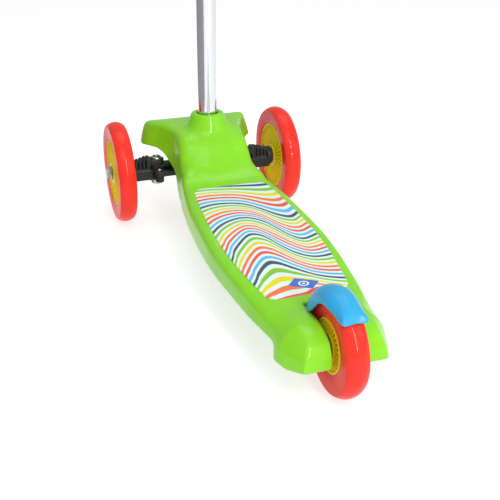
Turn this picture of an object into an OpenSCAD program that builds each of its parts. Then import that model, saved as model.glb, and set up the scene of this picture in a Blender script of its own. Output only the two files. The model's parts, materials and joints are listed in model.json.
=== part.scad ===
// Three-wheeled kick scooter that steers by leaning.
// +Y points forward, +X to the rider's right, +Z up. The wheels stand on z = 0.

/* [Overall] */
// Distance between the front and the rear axle
wheelbase = 420; // [380:2:504]
// Height of the handlebar's middle along the column
bar_height = 620; // [560:5:660]
// Width across the ends of the grips
bar_w = 280; // [240:5:320]

/* [Wheels] */
// Diameter of the two front wheels
front_d = 120; // [100:1:126]
// Diameter of the rear wheel
rear_d = 91; // [72:1:94]
// Width of every tyre
tyre_w = 20; // [18:0.5:24]
// Distance between the middles of the front wheels
track = 202.7; // [198:0.1:243]
// Number of ribs on each side of a front wheel's core
rib_count = 18; // [10:1:24]

/* [Deck] */
// Greatest width of the deck
deck_w = 121.6; // [112:0.4:140]
// Height of the deck's top above the rear axle's middle line
deck_h = 58; // [57:0.5:66]
// Slope of the deck's top, rising to the front
deck_slope = 2.86; // [2:0.02:3.4]
// Width between the tips of the front wing
wing_w = 132; // [124:1:136]
// Wall thickness of the deck moulding
wall = 3; // [2.4:0.1:3.6]

/* [Column] */
// Outer diameter of the lower column tube
column_d = 22; // [20:0.2:26.4]
// Backward lean of the column
rake = 2.6; // [0:0.1:6]
// Height where the lower column tube ends
clamp_z = 345; // [300:5:380]

/* [Steering] */
// Length of each steering arm
arm_l = 16; // [15.5:0.1:17]
// Height of the lean pivot above the ground
lean_z = 80; // [79:0.5:82]

/* [Brake] */
// Gap between the resting brake and the rear tyre
brake_gap = 2.6; // [2:0.1:3.4]

/* [Hidden] */
$fn = 64;

green = [0.54, 0.84, 0.2];
blue = [0.26, 0.72, 0.93];
red = [0.99, 0.28, 0.22];
yellow = [0.8, 0.68, 0.12];
steel = [0.75, 0.75, 0.77];
black = [0.15, 0.15, 0.16];

eps = 0.01;
run_gap = 0.04; // radial clearance of a shaft that turns or slides in its hole
side_gap = 0.3; // clearance between flat faces that turn past each other

// Axle places: the wheels' ends reach equally far from y = 0
front_r = front_d / 2;
rear_r = rear_d / 2;
rear_y = -(wheelbase + front_r - rear_r) / 2;
front_y = rear_y + wheelbase;
wheel_x = track / 2;
tail_l = 66; // the tail keeps its shape around the rear wheel
long_k = (wheelbase - tail_l) / (420 - tail_l); // stretch of the deck ahead of the tail
function along(v) = rear_y + (v < tail_l ? v : tail_l + (v - tail_l) * long_k);
function deck_z(y) = deck_h + (y - rear_y) * tan(deck_slope);

// Deck outline
hw = deck_w / 2;
neck_hw = hw - 22;
tail_hw = hw - 10.5;
wing_hw = wing_w / 2;
slot_hw = tyre_w / 2 + 2.5;
skirt_z = 35.5;
side_z = 42.5;
tunnel_y = along(360);
wing_z = 117;
wing_low = 86;
wing_front = along(462);
wing_back = front_y + 14;

// Column: places along its axis are heights at the foot of the rake
column_y = front_y - 36.9;
foot_z = 92;
collar_z = 140;
bush_wall = 1.6;
column_r = column_d / 2;
bush_r = column_r + bush_wall;
upper_r = column_r - 1.5;
tube_wall = 1.45;
insert_l = 110;
lock_z = 127;
button_r = 3.5;

// Steering
lean_half = 11;
beam_half = 9;
beam_low = 54;
beam_top = 66;
king_x = wheel_x - 45.35;
ear_t = 6;
ear_r = 9;
pin_r = 4;
tie_y = front_y - arm_l;
tie_z = 58;
tie_pin_r = 2.5;
ball_r = 4;
rubber_x = 31;
rubber_r = 8;
rubber_l = 20;
boss_t = 5;

// Wheels
hub_half = tyre_w / 2 - side_gap;
bearing_r = 11;
bearing_w = 7;
washer_t = 1.2;
washer_r = 8;
flange_x = wheel_x - hub_half - side_gap - washer_t;
front_core_r = front_r * 0.63;
rear_core_r = rear_r * 0.53;
boss_x = slot_hw + 9.5;

// Brake
brake_in = rear_r + brake_gap;
brake_t = 2.8;
brake_hw = slot_hw - 0.5;
hinge_z = 55;
hinge_pin_r = 2.2;
hinge_r = 4.2;
hinge_l = brake_in + 3.78; // from the rear axle to the hinge pin
hinge_y = rear_y + sqrt(pow(hinge_l, 2) - pow(hinge_z - rear_r, 2));
slot_front = hinge_y + 6;

function bezier(p, n, from = 0) = [
  for (i = [from : n])
    let (t = i / n, u = 1 - t)
      p[0] * u * u * u + p[1] * 3 * u * u * t + p[2] * 3 * u * t * t + p[3] * t * t * t
];
function flipped(pts) = [for (i = [len(pts) - 1 : -1 : 0]) [-pts[i][0], pts[i][1]]];
function inset(pts, d) = [for (p = pts) [p[0] - d, p[1]]];
function circle_at(x, y, r, a0, a1, n) = [
  for (i = [0 : n]) let (a = a0 + (a1 - a0) * i / n) [x + r * cos(a), y + r * sin(a)]
];

// Right-hand edge of the deck between the tail and the neck
deck_edge = concat(
  bezier([[tail_hw, along(45)], [hw - 9, along(75)], [hw, along(115)], [hw, along(180)]], 8),
  bezier([[hw, along(180)], [hw, along(245)], [hw - 8, along(300)], [neck_hw, along(365)]], 8, 1)
);
// Right-hand edge of the front wing
wing_edge = concat(
  bezier([[neck_hw, along(365)], [neck_hw, along(415)], [neck_hw + 8, wing_back - 2],
    [wing_hw, wing_back]], 8),
  circle_at(wing_hw - 4, wing_front - 16, 4, 0, 60, 3),
  [[0, wing_front]]
);

// Local X and Y of the outline become Y and Z, and the extrusion runs along X
module across(x0, x1) {
  translate([x0, 0, 0]) rotate([90, 0, 90]) linear_extrude(x1 - x0) children();
}

module up_from(z0, z1) {
  translate([0, 0, z0]) linear_extrude(z1 - z0) children();
}

// A cylinder along X from x0 to x1
module rod_x(x0, x1, r, fn = 64) {
  translate([x0, 0, 0]) rotate([0, 90, 0]) cylinder(r = r, h = x1 - x0, $fn = fn);
}

// A cylinder along Y from y0 to y1
module rod_y(y0, y1, r, fn = 64) {
  translate([0, y1, 0]) rotate([90, 0, 0]) cylinder(r = r, h = y1 - y0, $fn = fn);
}

module on_left() {
  mirror([1, 0, 0]) children();
}

// Puts its children on the column's raked axis
module on_column() {
  translate([0, column_y, 150]) rotate([rake, 0, 0]) translate([0, 0, -150]) children();
}

module hex_x(x0, x1, across_flats) {
  rod_x(x0, x1, across_flats / sqrt(3), 6);
}

module hex_z(z0, z1, across_flats) {
  translate([0, 0, z0]) cylinder(r = across_flats / sqrt(3), h = z1 - z0, $fn = 6);
}

// ---- deck ----

// Outline seen from above, drawn d inside the true edge
module deck_plan(d) {
  side = inset(concat(deck_edge, wing_edge), d);
  right = [for (p = side) [max(p[0], 0), min(p[1], wing_front - d)]];
  polygon(concat(right, flipped(right)));
}

// Outline seen from the side, drawn d below the true top
module deck_side(d) {
  ramp = bezier([[along(302), deck_z(along(302)) - d], [along(340), deck_z(along(340)) - d],
    [along(345), wing_z - d], [along(385), wing_z - d]], 8);
  nose = circle_at(wing_front - 14, wing_z - 14, 14 - d, 90, 0, 5);
  polygon(concat(
    [[along(40), deck_z(along(40)) - d]],
    ramp,
    nose,
    [[wing_front - d, wing_low], [wing_back, wing_low - 1], [front_y - 4, wing_low - 8],
      [along(385), 72], [along(366), 63], [tunnel_y, 52], [along(357), side_z],
      [along(40), side_z]]
  ));
}

// One block of the deck body, d thinner than the outside
module deck_block(d) {
  intersection() {
    up_from(20, 130) deck_plan(d);
    across(-hw - 20, hw + 20) deck_side(d);
  }
}

// Side outline of the cheeks beside the rear wheel
module cheek_side(d) {
  polygon(concat(
    bezier([[along(50), deck_z(along(50)) - d], [along(12), deck_h + 8 - d],
      [along(-16) + d, deck_h + 4 - d], [along(-20) + d, skirt_z + 6]], 8),
    [[along(-20) + d, skirt_z], [along(15), skirt_z], [along(17), side_z], [along(50), side_z]]
  ));
}

module cheek_plan(d) {
  polygon([[slot_hw, along(-20) + d], [tail_hw - 13, along(-20) + d],
    [tail_hw - d, along(-8)], [tail_hw - d, along(60)], [slot_hw, along(60)]]);
}

module cheek() {
  difference() {
    intersection() {
      across(slot_hw, hw) cheek_side(0);
      up_from(20, 90) cheek_plan(0);
    }
    difference() {
      intersection() {
        across(slot_hw + wall, hw) cheek_side(wall);
        up_from(0, 90) cheek_plan(wall);
        translate([0, along(-30), 0]) cube([hw, 77, 90]);
      }
      translate([0, rear_y, rear_r]) rod_x(0, boss_x, 10);
      translate([slot_hw, rear_y - 10, rear_r]) cube([boss_x - slot_hw, 20, 40]);
    }
    translate([slot_hw, along(-30), 0]) cube([hw, 80, skirt_z]);
  }
}

// Ribs that stiffen the underside
module deck_ribs() {
  rib_t = 2.2;
  intersection() {
    deck_block(wall - 1);
    union() {
      for (x = [-30, 0, 30])
        translate([x - rib_t / 2, along(60), side_z + 3]) cube([rib_t, along(355) - along(60), 60]);
      for (i = [0 : 7])
        translate([-hw, along(62 + i * 41), side_z + 3]) cube([deck_w, rib_t, 60]);
    }
  }
}

// Blocks that hold the brake's hinge pin
module hinge_blocks() {
  for (s = [-1, 1])
    translate([s * (slot_hw + 4.5) - 4.5, hinge_y - 5, side_z + 2])
      cube([9, 13, deck_z(hinge_y - 5) - side_z - 3]);
}

// Hangers for the lean bolt, the rubbers and the steering pin, inside the wing
module front_bosses() {
  for (y = [front_y - lean_half - 0.5 - boss_t, front_y + lean_half + 0.5])
    translate([-11, y, lean_z - 10]) cube([22, boss_t, wing_z - wall - lean_z + 11]);
  translate([-7, tie_y - 4, tie_z + 6.5]) cube([14, 8.6, 8]);
  for (x = [-rubber_x, rubber_x])
    translate([x, front_y, beam_top + rubber_l + side_gap])
      cylinder(r = rubber_r + 1, h = wing_z - wall - beam_top - rubber_l + 1);
}

// Flared collar and the socket under it
module collar() {
  on_column() {
    rotate_extrude() polygon(concat(
      [[0, foot_z - wall], [bush_r + wall, foot_z - wall], [bush_r + wall, 108]],
      bezier([[bush_r + 15, 110], [bush_r + 14, 122], [bush_r + 9.5, 132], [bush_r + 7, collar_z - 1]],
        6),
      [[bush_r + 6, collar_z], [0, collar_z]]
    ));
  }
}

module deck_shell() {
  color(green) difference() {
    union() {
      difference() {
        deck_block(0);
        difference() {
          union() {
            deck_block(wall);
            intersection() {
              up_from(0, wing_low) deck_plan(wall);
              translate([-hw, along(60), 0]) cube([deck_w, 500, side_z + 5]);
            }
            intersection() {
              up_from(0, wing_z - wall - 20) deck_plan(wall);
              translate([-wing_hw, tunnel_y, 0]) cube([wing_w, 200, wing_z]);
            }
          }
          translate([-hw, along(30), 0]) cube([deck_w, 30, 130]);
        }
      }
      deck_ribs();
      front_bosses();
      collar();
      cheek();
      on_left() cheek();
      hinge_blocks();
    }
    translate([-slot_hw, along(-60), 0]) cube([2 * slot_hw, slot_front - along(-60), 130]);
    translate([0, rear_y, rear_r]) rod_x(-hw, hw, pin_r);
    translate([0, hinge_y, hinge_z]) rod_x(-slot_hw - 8, slot_hw + 8, hinge_pin_r);
    translate([0, 0, lean_z]) rod_y(front_y - 30, front_y + 30, pin_r);
    translate([0, tie_y, tie_z]) cylinder(r = 3, h = 14);
    on_column() {
      translate([0, 0, foot_z]) cylinder(r = bush_r, h = 60);
      translate([0, 0, lock_z]) {
        rod_y(0, 40, button_r + run_gap);
        rod_y(bush_r + 3, 40, 9);
      }
    }
  }
}

// Thin printed grip sheet on the deck's top
module grip_sheet() {
  sheet_inset = 11.5;
  sheet_t = 0.6;
  edge = inset([for (p = deck_edge) if (p[1] > along(66) && p[1] < along(290)) p], sheet_inset);
  right = concat([[hw - 34, along(60)], [hw - 24.5, along(62)]], edge,
    [[hw - 18.5, along(294)], [hw - 28, along(300)]]);
  color("white") translate([0, rear_y, deck_h]) rotate([deck_slope, 0, 0])
    translate([0, -rear_y, 0]) linear_extrude(sheet_t) polygon(concat(right, flipped(right)));
}

// ---- column ----

module column_bush() {
  color(black) on_column() difference() {
    union() {
      translate([0, 0, foot_z]) cylinder(r = bush_r, h = collar_z - foot_z);
      translate([0, 0, collar_z]) cylinder(r = bush_r + 1.5, h = 1.2);
    }
    translate([0, 0, foot_z - 1]) cylinder(r = column_r, h = 80);
    translate([0, 0, lock_z]) rod_y(0, 40, button_r + run_gap);
  }
}

module column_tube() {
  color(steel) on_column() difference() {
    translate([0, 0, foot_z]) cylinder(r = column_r, h = clamp_z - foot_z);
    translate([0, 0, foot_z - 1]) cylinder(r = upper_r + run_gap, h = clamp_z);
    translate([0, 0, lock_z]) rod_y(0, 40, button_r + run_gap);
    translate([-1, -40, clamp_z - 36]) cube([2, 40, 40]);
  }
}

module lock_button() {
  color(steel) on_column() translate([0, 0, lock_z]) {
    rod_y(upper_r - 2.5, bush_r + 4.6, button_r);
    rod_y(upper_r - 3.9, upper_r - 2.5, button_r + 1.6);
  }
}

// Bent spring strip that holds the lock button out
module lock_spring() {
  strip_w = 6;
  outer_r = 8.6;
  inner_r = 7.7;
  reach = upper_r - 2.45; // half the depth of the bend across the tube
  color(steel) on_column() across(-strip_w / 2, strip_w / 2)
    translate([-1.6, lock_z - 8]) scale([reach / outer_r, 1])
      polygon(concat(circle_at(0, 0, outer_r, 140, 400, 16), circle_at(0, 0, inner_r, 400, 140, 16)));
}

module clamp_ring() {
  ring_r = column_r + 4;
  color(black) on_column() difference() {
    union() {
      translate([0, 0, clamp_z - 30]) cylinder(r = ring_r, h = 30);
      translate([-8.5, -column_r - 13, clamp_z - 26]) cube([17, 14, 22]);
      translate([0, 0, clamp_z]) cylinder(r = ring_r, h = 2);
    }
    translate([0, 0, clamp_z - 31]) cylinder(r = column_r, h = 31);
    translate([0, 0, clamp_z - 2]) cylinder(r = upper_r + 0.3, h = 10);
    translate([-1, -50, clamp_z - 31]) cube([2, 50, 40]);
    translate([0, -column_r - 8, clamp_z - 15]) rod_x(-20, 20, 2.5);
  }
}

module at_clamp() {
  on_column() translate([0, -column_r - 8, clamp_z - 15]) children();
}

module clamp_bolt() {
  color(steel) at_clamp() difference() {
    union() {
      rod_x(-13, 13, 2.5);
      translate([-13, 0, -3]) cylinder(r = 4.4, h = 6);
    }
    translate([-13, 0, -4]) cylinder(r = 2, h = 8);
  }
}

module clamp_nut() {
  color(steel) at_clamp() difference() {
    hex_x(8.5, 13, 8);
    rod_x(8, 14, 2.5);
  }
}

module cam_pin() {
  color(steel) at_clamp() translate([-13, 0, -8]) cylinder(r = 2, h = 16);
}

// Quick-release lever, closed along the column's left side
module clamp_lever() {
  lever_z = 16;
  color(black) at_clamp() difference() {
    union() {
      translate([-13, 0, -lever_z / 2]) cylinder(r = 4.2, h = lever_z);
      translate([0, 0, -lever_z / 2]) linear_extrude(lever_z) polygon(concat(
        [[-18, 0], [-9.6, 0], [-9.6, 2]],
        bezier([[-9.6, 2], [-17, 9], [-19, 22], [-17, 38]], 6, 1),
        [[-20, 41]],
        bezier([[-22, 38], [-25, 22], [-24, 10], [-18, 0]], 6)
      ));
    }
    translate([-13, 0, -lever_z]) cylinder(r = 2 + run_gap, h = 2 * lever_z);
    translate([-18.2, -6, -3.3]) cube([9.4, 11, 6.6]);
  }
}

// ---- handlebar ----

module upper_tube() {
  low = clamp_z - insert_l;
  color(steel) on_column() difference() {
    translate([0, 0, low]) cylinder(r = upper_r, h = bar_height - low);
    translate([0, 0, low - 1]) cylinder(r = upper_r - tube_wall, h = bar_height);
    translate([0, 0, bar_height]) rod_x(-40, 40, column_r);
  }
}

module handlebar() {
  end_x = bar_w / 2 - 3;
  color(steel) on_column() translate([0, 0, bar_height]) difference() {
    rod_x(-end_x, end_x, column_r);
    rod_x(-end_x - 1, end_x + 1, column_r - tube_wall);
  }
}

module right_grip() {
  end_x = bar_w / 2;
  grip_l = 98;
  color(blue) on_column() translate([0, 0, bar_height]) rotate([0, 90, 0])
    rotate_extrude() polygon(concat(
      [[0, end_x - 3], [column_r, end_x - 3], [column_r, end_x - grip_l],
        [column_r + 7, end_x - grip_l], [column_r + 7.6, end_x - grip_l + 2],
        [column_r + 7, end_x - grip_l + 4], [column_r + 3.2, end_x - grip_l + 6]],
      [for (i = [0 : 10]) for (k = [0, 1]) [column_r + 3.2 + 0.8 * k, end_x - grip_l + 12 + i * 7 + 3 * k]],
      [[column_r + 4, end_x - 7], [column_r + 6, end_x - 5], [column_r + 6, end_x - 2],
        [column_r + 4, end_x], [0, end_x]]
    ));
}

module left_grip() {
  on_left() right_grip();
}

module bar_plugs() {
  end_x = bar_w / 2 - 3;
  color(black) on_column() translate([0, 0, bar_height]) for (s = [0, 1]) mirror([s, 0, 0])
    rod_x(end_x - 14, end_x, column_r - tube_wall);
}

// ---- steering ----

module axle_beam() {
  arm_end = king_x;
  color(black) difference() {
    union() {
      translate([0, 0, lean_z]) rod_y(front_y - lean_half, front_y + lean_half, 11);
      translate([0, front_y + beam_half - 1, 0]) rotate([90, 0, 0]) linear_extrude(2 * beam_half - 2)
        polygon([[-arm_end, beam_low], [arm_end, beam_low], [arm_end, beam_top], [22, beam_top],
          [11, lean_z], [-11, lean_z], [-22, beam_top], [-arm_end, beam_top]]);
      for (x = [-rubber_x, rubber_x])
        translate([x, front_y, beam_low + 4]) cylinder(r = rubber_r + 1.5, h = beam_top - beam_low - 4);
      for (x = [-king_x, king_x])
        translate([x, front_y, beam_low]) cylinder(r = ear_r - 0.5, h = beam_top - beam_low);
    }
    translate([0, 0, lean_z]) rod_y(front_y - 30, front_y + 30, pin_r + run_gap);
    for (x = [-king_x, king_x])
      translate([x, front_y, 0]) cylinder(r = pin_r + run_gap, h = 100);
  }
}

module lean_bolt() {
  back = front_y - lean_half - 0.5 - boss_t;
  front = front_y + lean_half + 0.5 + boss_t;
  color(steel) translate([0, 0, lean_z]) {
    rod_y(back - 8, front, pin_r);
    rod_y(front, front + 5, 13 / sqrt(3), 6);
  }
}

module lean_nut() {
  back = front_y - lean_half - 0.5 - boss_t;
  color(steel) translate([0, 0, lean_z]) difference() {
    rod_y(back - 6.5, back, 13 / sqrt(3), 6);
    rod_y(back - 9, back + 1, pin_r);
  }
}

module right_rubber() {
  color([0.3, 0.3, 0.32]) translate([rubber_x, front_y, beam_top]) rotate_extrude() polygon(
    [[0, 0], [rubber_r, 0], [rubber_r - 1.6, rubber_l / 2], [rubber_r, rubber_l], [0, rubber_l]]);
}

module left_rubber() {
  on_left() right_rubber();
}

// Ball-ended pin under the deck that pushes the tie rod sideways as the deck leans
module steer_pin() {
  color(steel) translate([0, tie_y, tie_z]) {
    sphere(r = ball_r, $fn = 48);
    cylinder(r = 3, h = 14);
  }
}

module tie_rod() {
  half_h = 3.5;
  color(black) difference() {
    union() {
      translate([-king_x, tie_y - 4, tie_z - half_h]) cube([2 * king_x, 8, 2 * half_h]);
      translate([-10, tie_y - 6, tie_z - half_h]) cube([20, 12, 2 * half_h]);
      for (x = [-king_x, king_x])
        translate([x - 6.5, tie_y - 6, tie_z - half_h]) cube([13, 12, 2 * half_h]);
    }
    translate([-ball_r - 0.08, tie_y - 4.6, 0]) cube([2 * ball_r + 0.16, 9.2, 100]);
    for (x = [-king_x, king_x])
      translate([x - tie_pin_r - 0.08, tie_y - 3.7, 0]) cube([2 * tie_pin_r + 0.16, 7.4, 100]);
  }
}

module right_knuckle() {
  low = beam_low - 0.4 - ear_t;
  top = beam_top + 0.4;
  web_x = king_x + ear_r + 0.6;
  color(black) difference() {
    union() {
      for (z = [low, top]) {
        translate([king_x, front_y, z]) cylinder(r = ear_r, h = ear_t);
        translate([king_x, front_y - 8, z]) cube([web_x - king_x, 16, ear_t]);
      }
      translate([king_x - 5, tie_y - 5, low]) cube([10, arm_l + 2, ear_t]);
      translate([0, front_y + 8, 0]) rotate([90, 0, 0]) linear_extrude(16) polygon([
        [web_x - 0.01, low], [flange_x - 3, front_r - 10.5], [flange_x - 3, front_r + 8],
        [web_x + 6, top + ear_t + 3], [web_x + 2, top + ear_t + 3], [web_x - 0.01, top + ear_t]]);
      translate([0, front_y, front_r]) rod_x(flange_x - 3.5, flange_x, 11.5);
    }
    translate([king_x, front_y, 0]) cylinder(r = pin_r, h = 100);
    translate([king_x, tie_y, 0]) cylinder(r = tie_pin_r, h = 100);
    translate([0, front_y, front_r]) rod_x(web_x + 2, flange_x + 1, pin_r);
    for (s = [-1, 1])
      translate([web_x + 3.5, front_y + s * 6.5 - 3, front_r - 7]) cube([flange_x - web_x - 9, 6, 40]);
  }
}

module left_knuckle() {
  on_left() right_knuckle();
}

module right_kingpin() {
  low = beam_low - 0.4 - ear_t;
  top = beam_top + 0.4 + ear_t;
  color(steel) translate([king_x, front_y, 0]) {
    translate([0, 0, low - 8]) cylinder(r = pin_r, h = top - low + 8);
    translate([0, 0, top]) cylinder(r1 = 6.6, r2 = 5, h = 3.4);
  }
}

module left_kingpin() {
  on_left() right_kingpin();
}

module right_king_nut() {
  low = beam_low - 0.4 - ear_t;
  color(steel) translate([king_x, front_y, 0]) difference() {
    hex_z(low - 6.5, low, 13);
    translate([0, 0, low - 9]) cylinder(r = pin_r, h = 12);
  }
}

module left_king_nut() {
  on_left() right_king_nut();
}

module right_tie_pin() {
  low = beam_low - 0.4 - ear_t;
  color(steel) translate([king_x, tie_y, 0]) {
    translate([0, 0, low]) cylinder(r = tie_pin_r, h = tie_z + 5 - low);
    translate([0, 0, tie_z + 5]) cylinder(r1 = tie_pin_r, r2 = tie_pin_r + 1.8, h = 1.4);
  }
}

module left_tie_pin() {
  on_left() right_tie_pin();
}

// ---- wheels ----

// Tyre around the X axis: flat sidewalls below a rounded tread
module tyre(r, core_r, crown) {
  half = tyre_w / 2;
  color(red) rotate([0, 90, 0]) rotate_extrude($fn = 96) polygon(concat(
    [[core_r, -half + 1.5], [core_r + 2, -half + 0.4]],
    [for (i = [0 : 16]) let (a = -90 + i * 180 / 16) [r - crown + crown * cos(a), half * sin(a)]],
    [[core_r + 2, half - 0.4], [core_r, half - 1.5]]
  ));
}

// Wheel core around the X axis with pockets for two bearings
module core(core_r, ribs) {
  rim_half = tyre_w / 2 - 1.5;
  color(yellow) difference() {
    union() {
      rod_x(-hub_half, hub_half, bearing_r + 2.2);
      rod_x(-2.2, 2.2, core_r);
      difference() {
        rod_x(-rim_half, rim_half, core_r);
        rod_x(-rim_half - 1, rim_half + 1, core_r - 3.4);
      }
      for (i = [0 : ribs - 1]) rotate([i * 360 / ribs, 0, 0])
        translate([-rim_half + 2, -0.9, bearing_r + 1]) cube([2 * rim_half - 4, 1.8, core_r - bearing_r - 3]);
    }
    rod_x(-20, 20, 8);
    for (x = [-20, hub_half - bearing_w]) rod_x(x, x + 20 - hub_half + bearing_w, bearing_r);
  }
}

module bearings() {
  color(steel) for (s = [0, 1]) mirror([s, 0, 0])
    rotate([0, 90, 0]) translate([0, 0, hub_half - bearing_w]) rotate_extrude() polygon([
      [pin_r + run_gap, 0], [bearing_r, 0], [bearing_r, bearing_w], [bearing_r - 1.8, bearing_w],
      [bearing_r - 2, bearing_w - 0.5], [pin_r + 2.2, bearing_w - 0.5], [pin_r + 2, bearing_w],
      [pin_r + run_gap, bearing_w]]);
}

module spacer() {
  half = hub_half - bearing_w;
  color(steel) difference() {
    rod_x(-half, half, 6.2);
    rod_x(-half - 1, half + 1, pin_r + 0.2);
  }
}

module at_front_wheel() {
  translate([wheel_x, front_y, front_r]) children();
}

module at_rear_wheel() {
  translate([0, rear_y, rear_r]) children();
}

module right_tyre() {
  at_front_wheel() tyre(front_r, front_core_r, 14.5);
}

module left_tyre() {
  on_left() right_tyre();
}

module right_core() {
  at_front_wheel() core(front_core_r, rib_count);
}

module left_core() {
  on_left() right_core();
}

module right_bearings() {
  at_front_wheel() bearings();
}

module left_bearings() {
  on_left() right_bearings();
}

module right_spacer() {
  at_front_wheel() spacer();
}

module left_spacer() {
  on_left() right_spacer();
}

module right_washers() {
  reach = hub_half + side_gap;
  color(steel) at_front_wheel() difference() {
    for (x = [-reach - washer_t, reach]) rod_x(x, x + washer_t, washer_r);
    rod_x(-20, 20, pin_r);
  }
}

module left_washers() {
  on_left() right_washers();
}

module right_axle_bolt() {
  reach = hub_half + side_gap + washer_t;
  inner = king_x + ear_r + 2.6 - wheel_x;
  color(steel) at_front_wheel() {
    rod_x(inner, reach, pin_r);
    hex_x(reach, reach + 5.5, 13);
  }
}

module left_axle_bolt() {
  on_left() right_axle_bolt();
}

module rear_tyre() {
  at_rear_wheel() tyre(rear_r, rear_core_r, 13);
}

module rear_core() {
  at_rear_wheel() core(rear_core_r, 12);
}

module rear_bearings() {
  at_rear_wheel() bearings();
}

module rear_spacer() {
  at_rear_wheel() spacer();
}

module rear_washers() {
  reach = hub_half + side_gap;
  color(steel) at_rear_wheel() difference() {
    for (s = [-1, 1]) rod_x(min(s * reach, s * slot_hw), max(s * reach, s * slot_hw), 7);
    rod_x(-20, 20, pin_r);
  }
}

module rear_axle_bolt() {
  color(steel) at_rear_wheel() {
    rod_x(-boss_x - 7.5, boss_x, pin_r);
    hex_x(boss_x, boss_x + 5.5, 13);
  }
}

module rear_axle_nut() {
  color(steel) at_rear_wheel() difference() {
    hex_x(-boss_x - 6.5, -boss_x, 13);
    rod_x(-boss_x - 9, -boss_x + 1, pin_r);
  }
}

// ---- brake ----

// Ring sector around the rear axle between two angles from straight ahead
module sector(r0, r1, a0, a1) {
  polygon(concat(
    circle_at(rear_y, rear_r, r1, a0, a1, 20),
    [for (p = circle_at(rear_y, rear_r, r0, a1, a0, 20)) p]
  ));
}

module brake_fender() {
  color(blue) difference() {
    union() {
      across(-brake_hw, brake_hw) sector(brake_in, brake_in + brake_t, 14, 130);
      for (s = [-1, 1])
        across(s * (brake_hw - 0.75) - 0.75, s * (brake_hw - 0.75) + 0.75)
          sector(brake_in - 3.4, brake_in + 1, 28, 122);
      translate([0, hinge_y, hinge_z]) rod_x(-brake_hw, brake_hw, hinge_r);
    }
    translate([0, hinge_y, hinge_z]) rod_x(-20, 20, hinge_pin_r + run_gap);
    translate([0, rear_y, rear_r]) rod_x(-brake_hw + 1.5, brake_hw - 1.5, brake_in - eps);
    translate([-5, hinge_y - 5.5, hinge_z - 6]) cube([10, 20, 11.5]);
  }
}

module brake_pin() {
  color(steel) translate([0, hinge_y, hinge_z]) rod_x(-slot_hw - 8, slot_hw + 8, hinge_pin_r);
}

// Torsion spring around the hinge pin, with a leg along the deck and one under the fender
module brake_spring() {
  wire_r = 0.55;
  coil_r = 3.5;
  turns = 5;
  steps = 14;
  sides = 6;
  rings = turns * steps;
  centre = [for (i = [0 : rings]) let (a = 360 * i / steps)
    [-4 + 8 * i / rings, coil_r * cos(a), coil_r * sin(a)]];
  points = [for (c = centre) let (a = atan2(c[2], c[1]))
    for (k = [0 : sides - 1]) let (b = 360 * k / sides, r = coil_r + wire_r * cos(b))
      [c[0] + wire_r * sin(b), r * cos(a), r * sin(a)]];
  skin = [for (i = [0 : rings - 1]) for (k = [0 : sides - 1]) let (n = (k + 1) % sides)
    [i * sides + k, i * sides + n, (i + 1) * sides + n, (i + 1) * sides + k]];
  ends = [[for (k = [sides - 1 : -1 : 0]) k], [for (k = [0 : sides - 1]) rings * sides + k]];
  color(steel) translate([0, hinge_y, hinge_z]) polyhedron(points, concat(skin, ends));
}

deck_shell();
grip_sheet();
column_bush();
column_tube();
lock_button();
lock_spring();
clamp_ring();
clamp_bolt();
clamp_nut();
cam_pin();
clamp_lever();
upper_tube();
handlebar();
left_grip();
right_grip();
bar_plugs();
axle_beam();
lean_bolt();
lean_nut();
left_rubber();
right_rubber();
steer_pin();
tie_rod();
left_knuckle();
right_knuckle();
left_kingpin();
right_kingpin();
left_king_nut();
right_king_nut();
left_tie_pin();
right_tie_pin();
left_axle_bolt();
right_axle_bolt();
left_washers();
right_washers();
left_tyre();
right_tyre();
left_core();
right_core();
left_bearings();
right_bearings();
left_spacer();
right_spacer();
rear_tyre();
rear_core();
rear_bearings();
rear_spacer();
rear_axle_bolt();
rear_axle_nut();
rear_washers();
brake_fender();
brake_pin();
brake_spring();
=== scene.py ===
import json
import math

import bmesh
import bpy
import numpy as np
from mathutils import Matrix, Vector


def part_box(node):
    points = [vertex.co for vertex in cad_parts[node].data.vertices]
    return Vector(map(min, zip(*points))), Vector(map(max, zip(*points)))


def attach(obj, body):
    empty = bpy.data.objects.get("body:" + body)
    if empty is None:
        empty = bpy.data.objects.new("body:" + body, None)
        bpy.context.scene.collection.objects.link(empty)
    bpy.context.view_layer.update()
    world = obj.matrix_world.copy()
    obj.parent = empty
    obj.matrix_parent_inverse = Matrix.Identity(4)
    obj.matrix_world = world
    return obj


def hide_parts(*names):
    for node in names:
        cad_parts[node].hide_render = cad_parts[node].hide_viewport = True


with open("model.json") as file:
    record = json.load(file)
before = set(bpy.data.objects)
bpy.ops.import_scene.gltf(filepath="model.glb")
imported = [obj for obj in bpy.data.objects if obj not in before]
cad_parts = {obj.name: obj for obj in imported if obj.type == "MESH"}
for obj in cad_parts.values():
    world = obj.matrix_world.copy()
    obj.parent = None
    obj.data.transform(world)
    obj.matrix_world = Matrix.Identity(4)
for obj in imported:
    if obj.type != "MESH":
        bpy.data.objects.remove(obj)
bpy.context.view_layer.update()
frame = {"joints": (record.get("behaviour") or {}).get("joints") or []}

mm = 0.001


def boxCentre(node):
    low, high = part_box(node)
    return (Vector(low) + Vector(high)) / 2


# Places taken from the frame, in metres
rearAxle = boxCentre("rear_tyre")
frontAxle = boxCentre("right_tyre")
frontAxle.x = 0
wheelX = boxCentre("right_tyre").x
rearRadius = (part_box("rear_tyre")[1][2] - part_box("rear_tyre")[0][2]) / 2
frontRadius = (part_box("right_tyre")[1][2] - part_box("right_tyre")[0][2]) / 2
tyreHalf = (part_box("rear_tyre")[1][0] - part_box("rear_tyre")[0][0]) / 2
jointOf = {j["name"]: j for j in frame["joints"]}
columnAxis = Vector(jointOf["bar_height"]["axis"]).normalized()
barMiddle = boxCentre("handlebar")
treadCrown = 14.5  # radius that rounds each tread, in millimetres


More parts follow.
